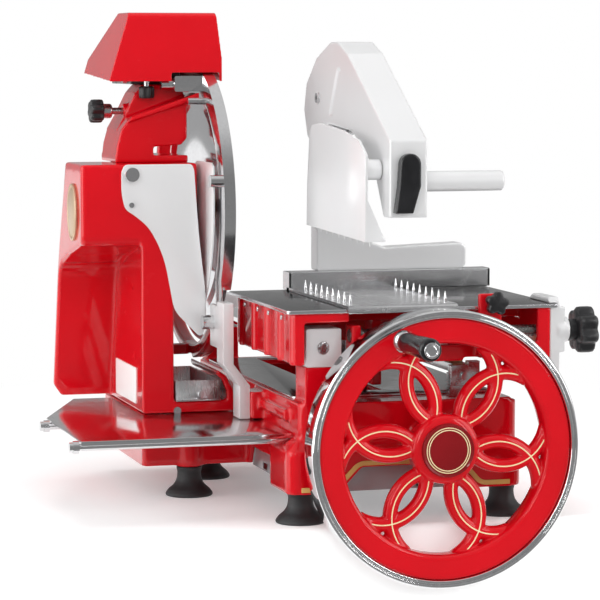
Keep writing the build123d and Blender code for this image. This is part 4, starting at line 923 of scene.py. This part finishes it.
def plain_white(name, value, dim):
    """Matt pale surface that fades to the white backdrop away from the slicer."""
    g = Graph(name)
    tone = g.mix(g.spread(g.noise(3), 0, 1), (value, value, value), (value * 0.985,) * 3)
    g.link(tone, g.bsdf.inputs["Base Color"])
    g.bsdf.inputs["Roughness"].default_value = 0.6
    g.bsdf.inputs["Emission Color"].default_value = (1, 1, 1, 1)
    g.bsdf.inputs["Emission Strength"].default_value = STAGE_GLOW
    distance = g.add("ShaderNodeVectorMath", operation="LENGTH")
    g.link(g.place, distance.inputs[0])
    fade = g.spread(distance.outputs["Value"], 0, 1, FADE_START, FADE_END)
    white = g.add("ShaderNodeEmission")
    mirrored = g.add("ShaderNodeLightPath").outputs["Is Glossy Ray"]
    g.link(g.math("SUBTRACT", 1.0, g.math("MULTIPLY", mirrored, dim)), white.inputs["Strength"])
    blend = g.add("ShaderNodeMixShader")
    g.link(fade, blend.inputs["Fac"])
    g.link(g.bsdf.outputs[0], blend.inputs[1])
    g.link(white.outputs[0], blend.inputs[2])
    g.link(blend.outputs[0], g.out.inputs["Surface"])
    return g.material


def build_stage():
    """Pale counter the slicer stands on; the flywheel hangs past its front edge, above the floor."""
    edge_y, reach, drop = -46.0, 9000, -900
    path = rounded_path([(edge_y, drop), (edge_y, 0), (reach, 0)], 9, 6)
    verts, faces = [], []
    for x in (-reach, reach):
        verts += [(x, p[0], p[1]) for p in path]
    count = len(path)
    for k in range(count - 1):
        faces.append((k, k + 1, count + k + 1, count + k))
    counter = object_from("counter", verts, faces)
    corners = [(-reach, -reach, drop), (reach, -reach, drop), (reach, edge_y, drop), (-reach, edge_y, drop)]
    floor = object_from("floor", corners, [(0, 1, 2, 3)])
    counter.data.materials.append(plain_white("counter_white", 0.93, 0.0))
    floor.data.materials.append(plain_white("floor_white", 0.93, FLOOR_DIM))


def soft_light(name, place, aim, size, power, mirrored=True):
    """Rectangular lamp that the camera does not see; mirrored lamps show in reflections."""
    data = bpy.data.lights.new(name, "AREA")
    data.shape = "RECTANGLE"
    data.size, data.size_y = size
    data.energy = power
    lamp = bpy.data.objects.new(name, data)
    lamp.location = place
    lamp.visible_glossy = mirrored
    lamp.visible_camera = False
    lamp.rotation_euler = (Vector(aim) - Vector(place)).to_track_quat("-Z", "Y").to_euler()
    bpy.context.scene.collection.objects.link(lamp)


def build_world():
    """White backdrop to the camera, even light to surfaces and a room with a dark front to reflections."""
    world = bpy.data.worlds.new("studio")
    bpy.context.scene.world = world
    world.use_nodes = True
    tree = world.node_tree
    tree.nodes.clear()
    link = tree.links.new

    def add(kind, **values):
        node = tree.nodes.new(kind)
        for key, value in values.items():
            setattr(node, key, value)
        return node

    def sky(value):
        node = add("ShaderNodeBackground")
        if isinstance(value, float):
            node.inputs["Color"].default_value = (value, value, value, 1)
        else:
            link(value, node.inputs["Color"])
        return node.outputs[0]

    parts = add("ShaderNodeSeparateXYZ")
    link(add("ShaderNodeTexCoord").outputs["Generated"], parts.inputs[0])

    def toward(axis, start, end, low, high):
        node = add("ShaderNodeMapRange", interpolation_type="SMOOTHSTEP")
        for slot, value in zip(("From Min", "From Max", "To Min", "To Max"), (start, end, low, high)):
            node.inputs[slot].default_value = value
        link(parts.outputs[axis], node.inputs["Value"])
        return node.outputs[0]

    def combine(kind, a, b):
        node = add("ShaderNodeMath", operation=kind)
        link(a, node.inputs[0])
        link(b, node.inputs[1])
        return node.outputs[0]

    room = toward("X", -0.35, -0.85, ROOM_ROUND, ROOM_LEFT)
    room = combine("ADD", room, toward("Z", 0.35, 0.9, 0.0, ROOM_TOP))
    room = combine("ADD", room, toward("X", 0.4, 0.9, 0.0, ROOM_RIGHT))
    room = combine("MULTIPLY", room, toward("Y", -0.25, -0.8, 1.0, ROOM_FRONT))
    rays = add("ShaderNodeLightPath")
    surfaces = add("ShaderNodeMixShader")
    link(rays.outputs["Is Glossy Ray"], surfaces.inputs["Fac"])
    link(sky(ROOM_FILL), surfaces.inputs[1])
    link(sky(room), surfaces.inputs[2])
    whole = add("ShaderNodeMixShader")
    link(rays.outputs["Is Camera Ray"], whole.inputs["Fac"])
    link(surfaces.outputs[0], whole.inputs[1])
    link(sky(1.0), whole.inputs[2])
    link(whole.outputs[0], add("ShaderNodeOutputWorld").inputs["Surface"])


def build_camera():
    """Long lens from the front left, a little above the deck."""
    data = bpy.data.cameras.new("camera")
    data.lens = 162
    data.sensor_width = 36
    data.clip_end = 50
    camera = bpy.data.objects.new("camera", data)
    yaw, pitch = math.radians(15.8), math.radians(5.2)
    ahead = Vector((math.sin(yaw) * math.cos(pitch), math.cos(yaw) * math.cos(pitch), -math.sin(pitch)))
    camera.location = (-0.7946, -2.8064, 0.5091)
    camera.rotation_euler = ahead.to_track_quat("-Z", "Y").to_euler()
    bpy.context.scene.collection.objects.link(camera)
    bpy.context.scene.camera = camera


build_stage()
build_world()
build_camera()
# name, place, aim and size in metres, power in watts; False keeps a lamp out of reflections
soft_light("left_panel", (-2.3, 0.1, 0.8), (0, 0.15, 0.25), (1.8, 2.1), 34)
soft_light("right_panel", (2.3, -1.0, 1.1), (0.1, 0.1, 0.2), (1.4, 1.8), 16)
soft_light("top_panel", (0.1, 0.2, 2.4), (0.05, 0.2, 0.2), (2.2, 1.6), 26, False)
soft_light("front_fill", (-0.2, -3.4, 1.6), (0.05, 0.0, 0.2), (2.6, 1.4), 34, False)
soft_light("key_strip", (-1.5, -2.2, 1.1), (0.0, 0.1, 0.25), (0.18, 1.5), 11)
soft_light("edge_strip", (1.7, -2.0, 1.0), (0.1, 0.0, 0.2), (0.16, 1.5), 8)
bpy.context.scene.view_settings.view_transform = "Standard"
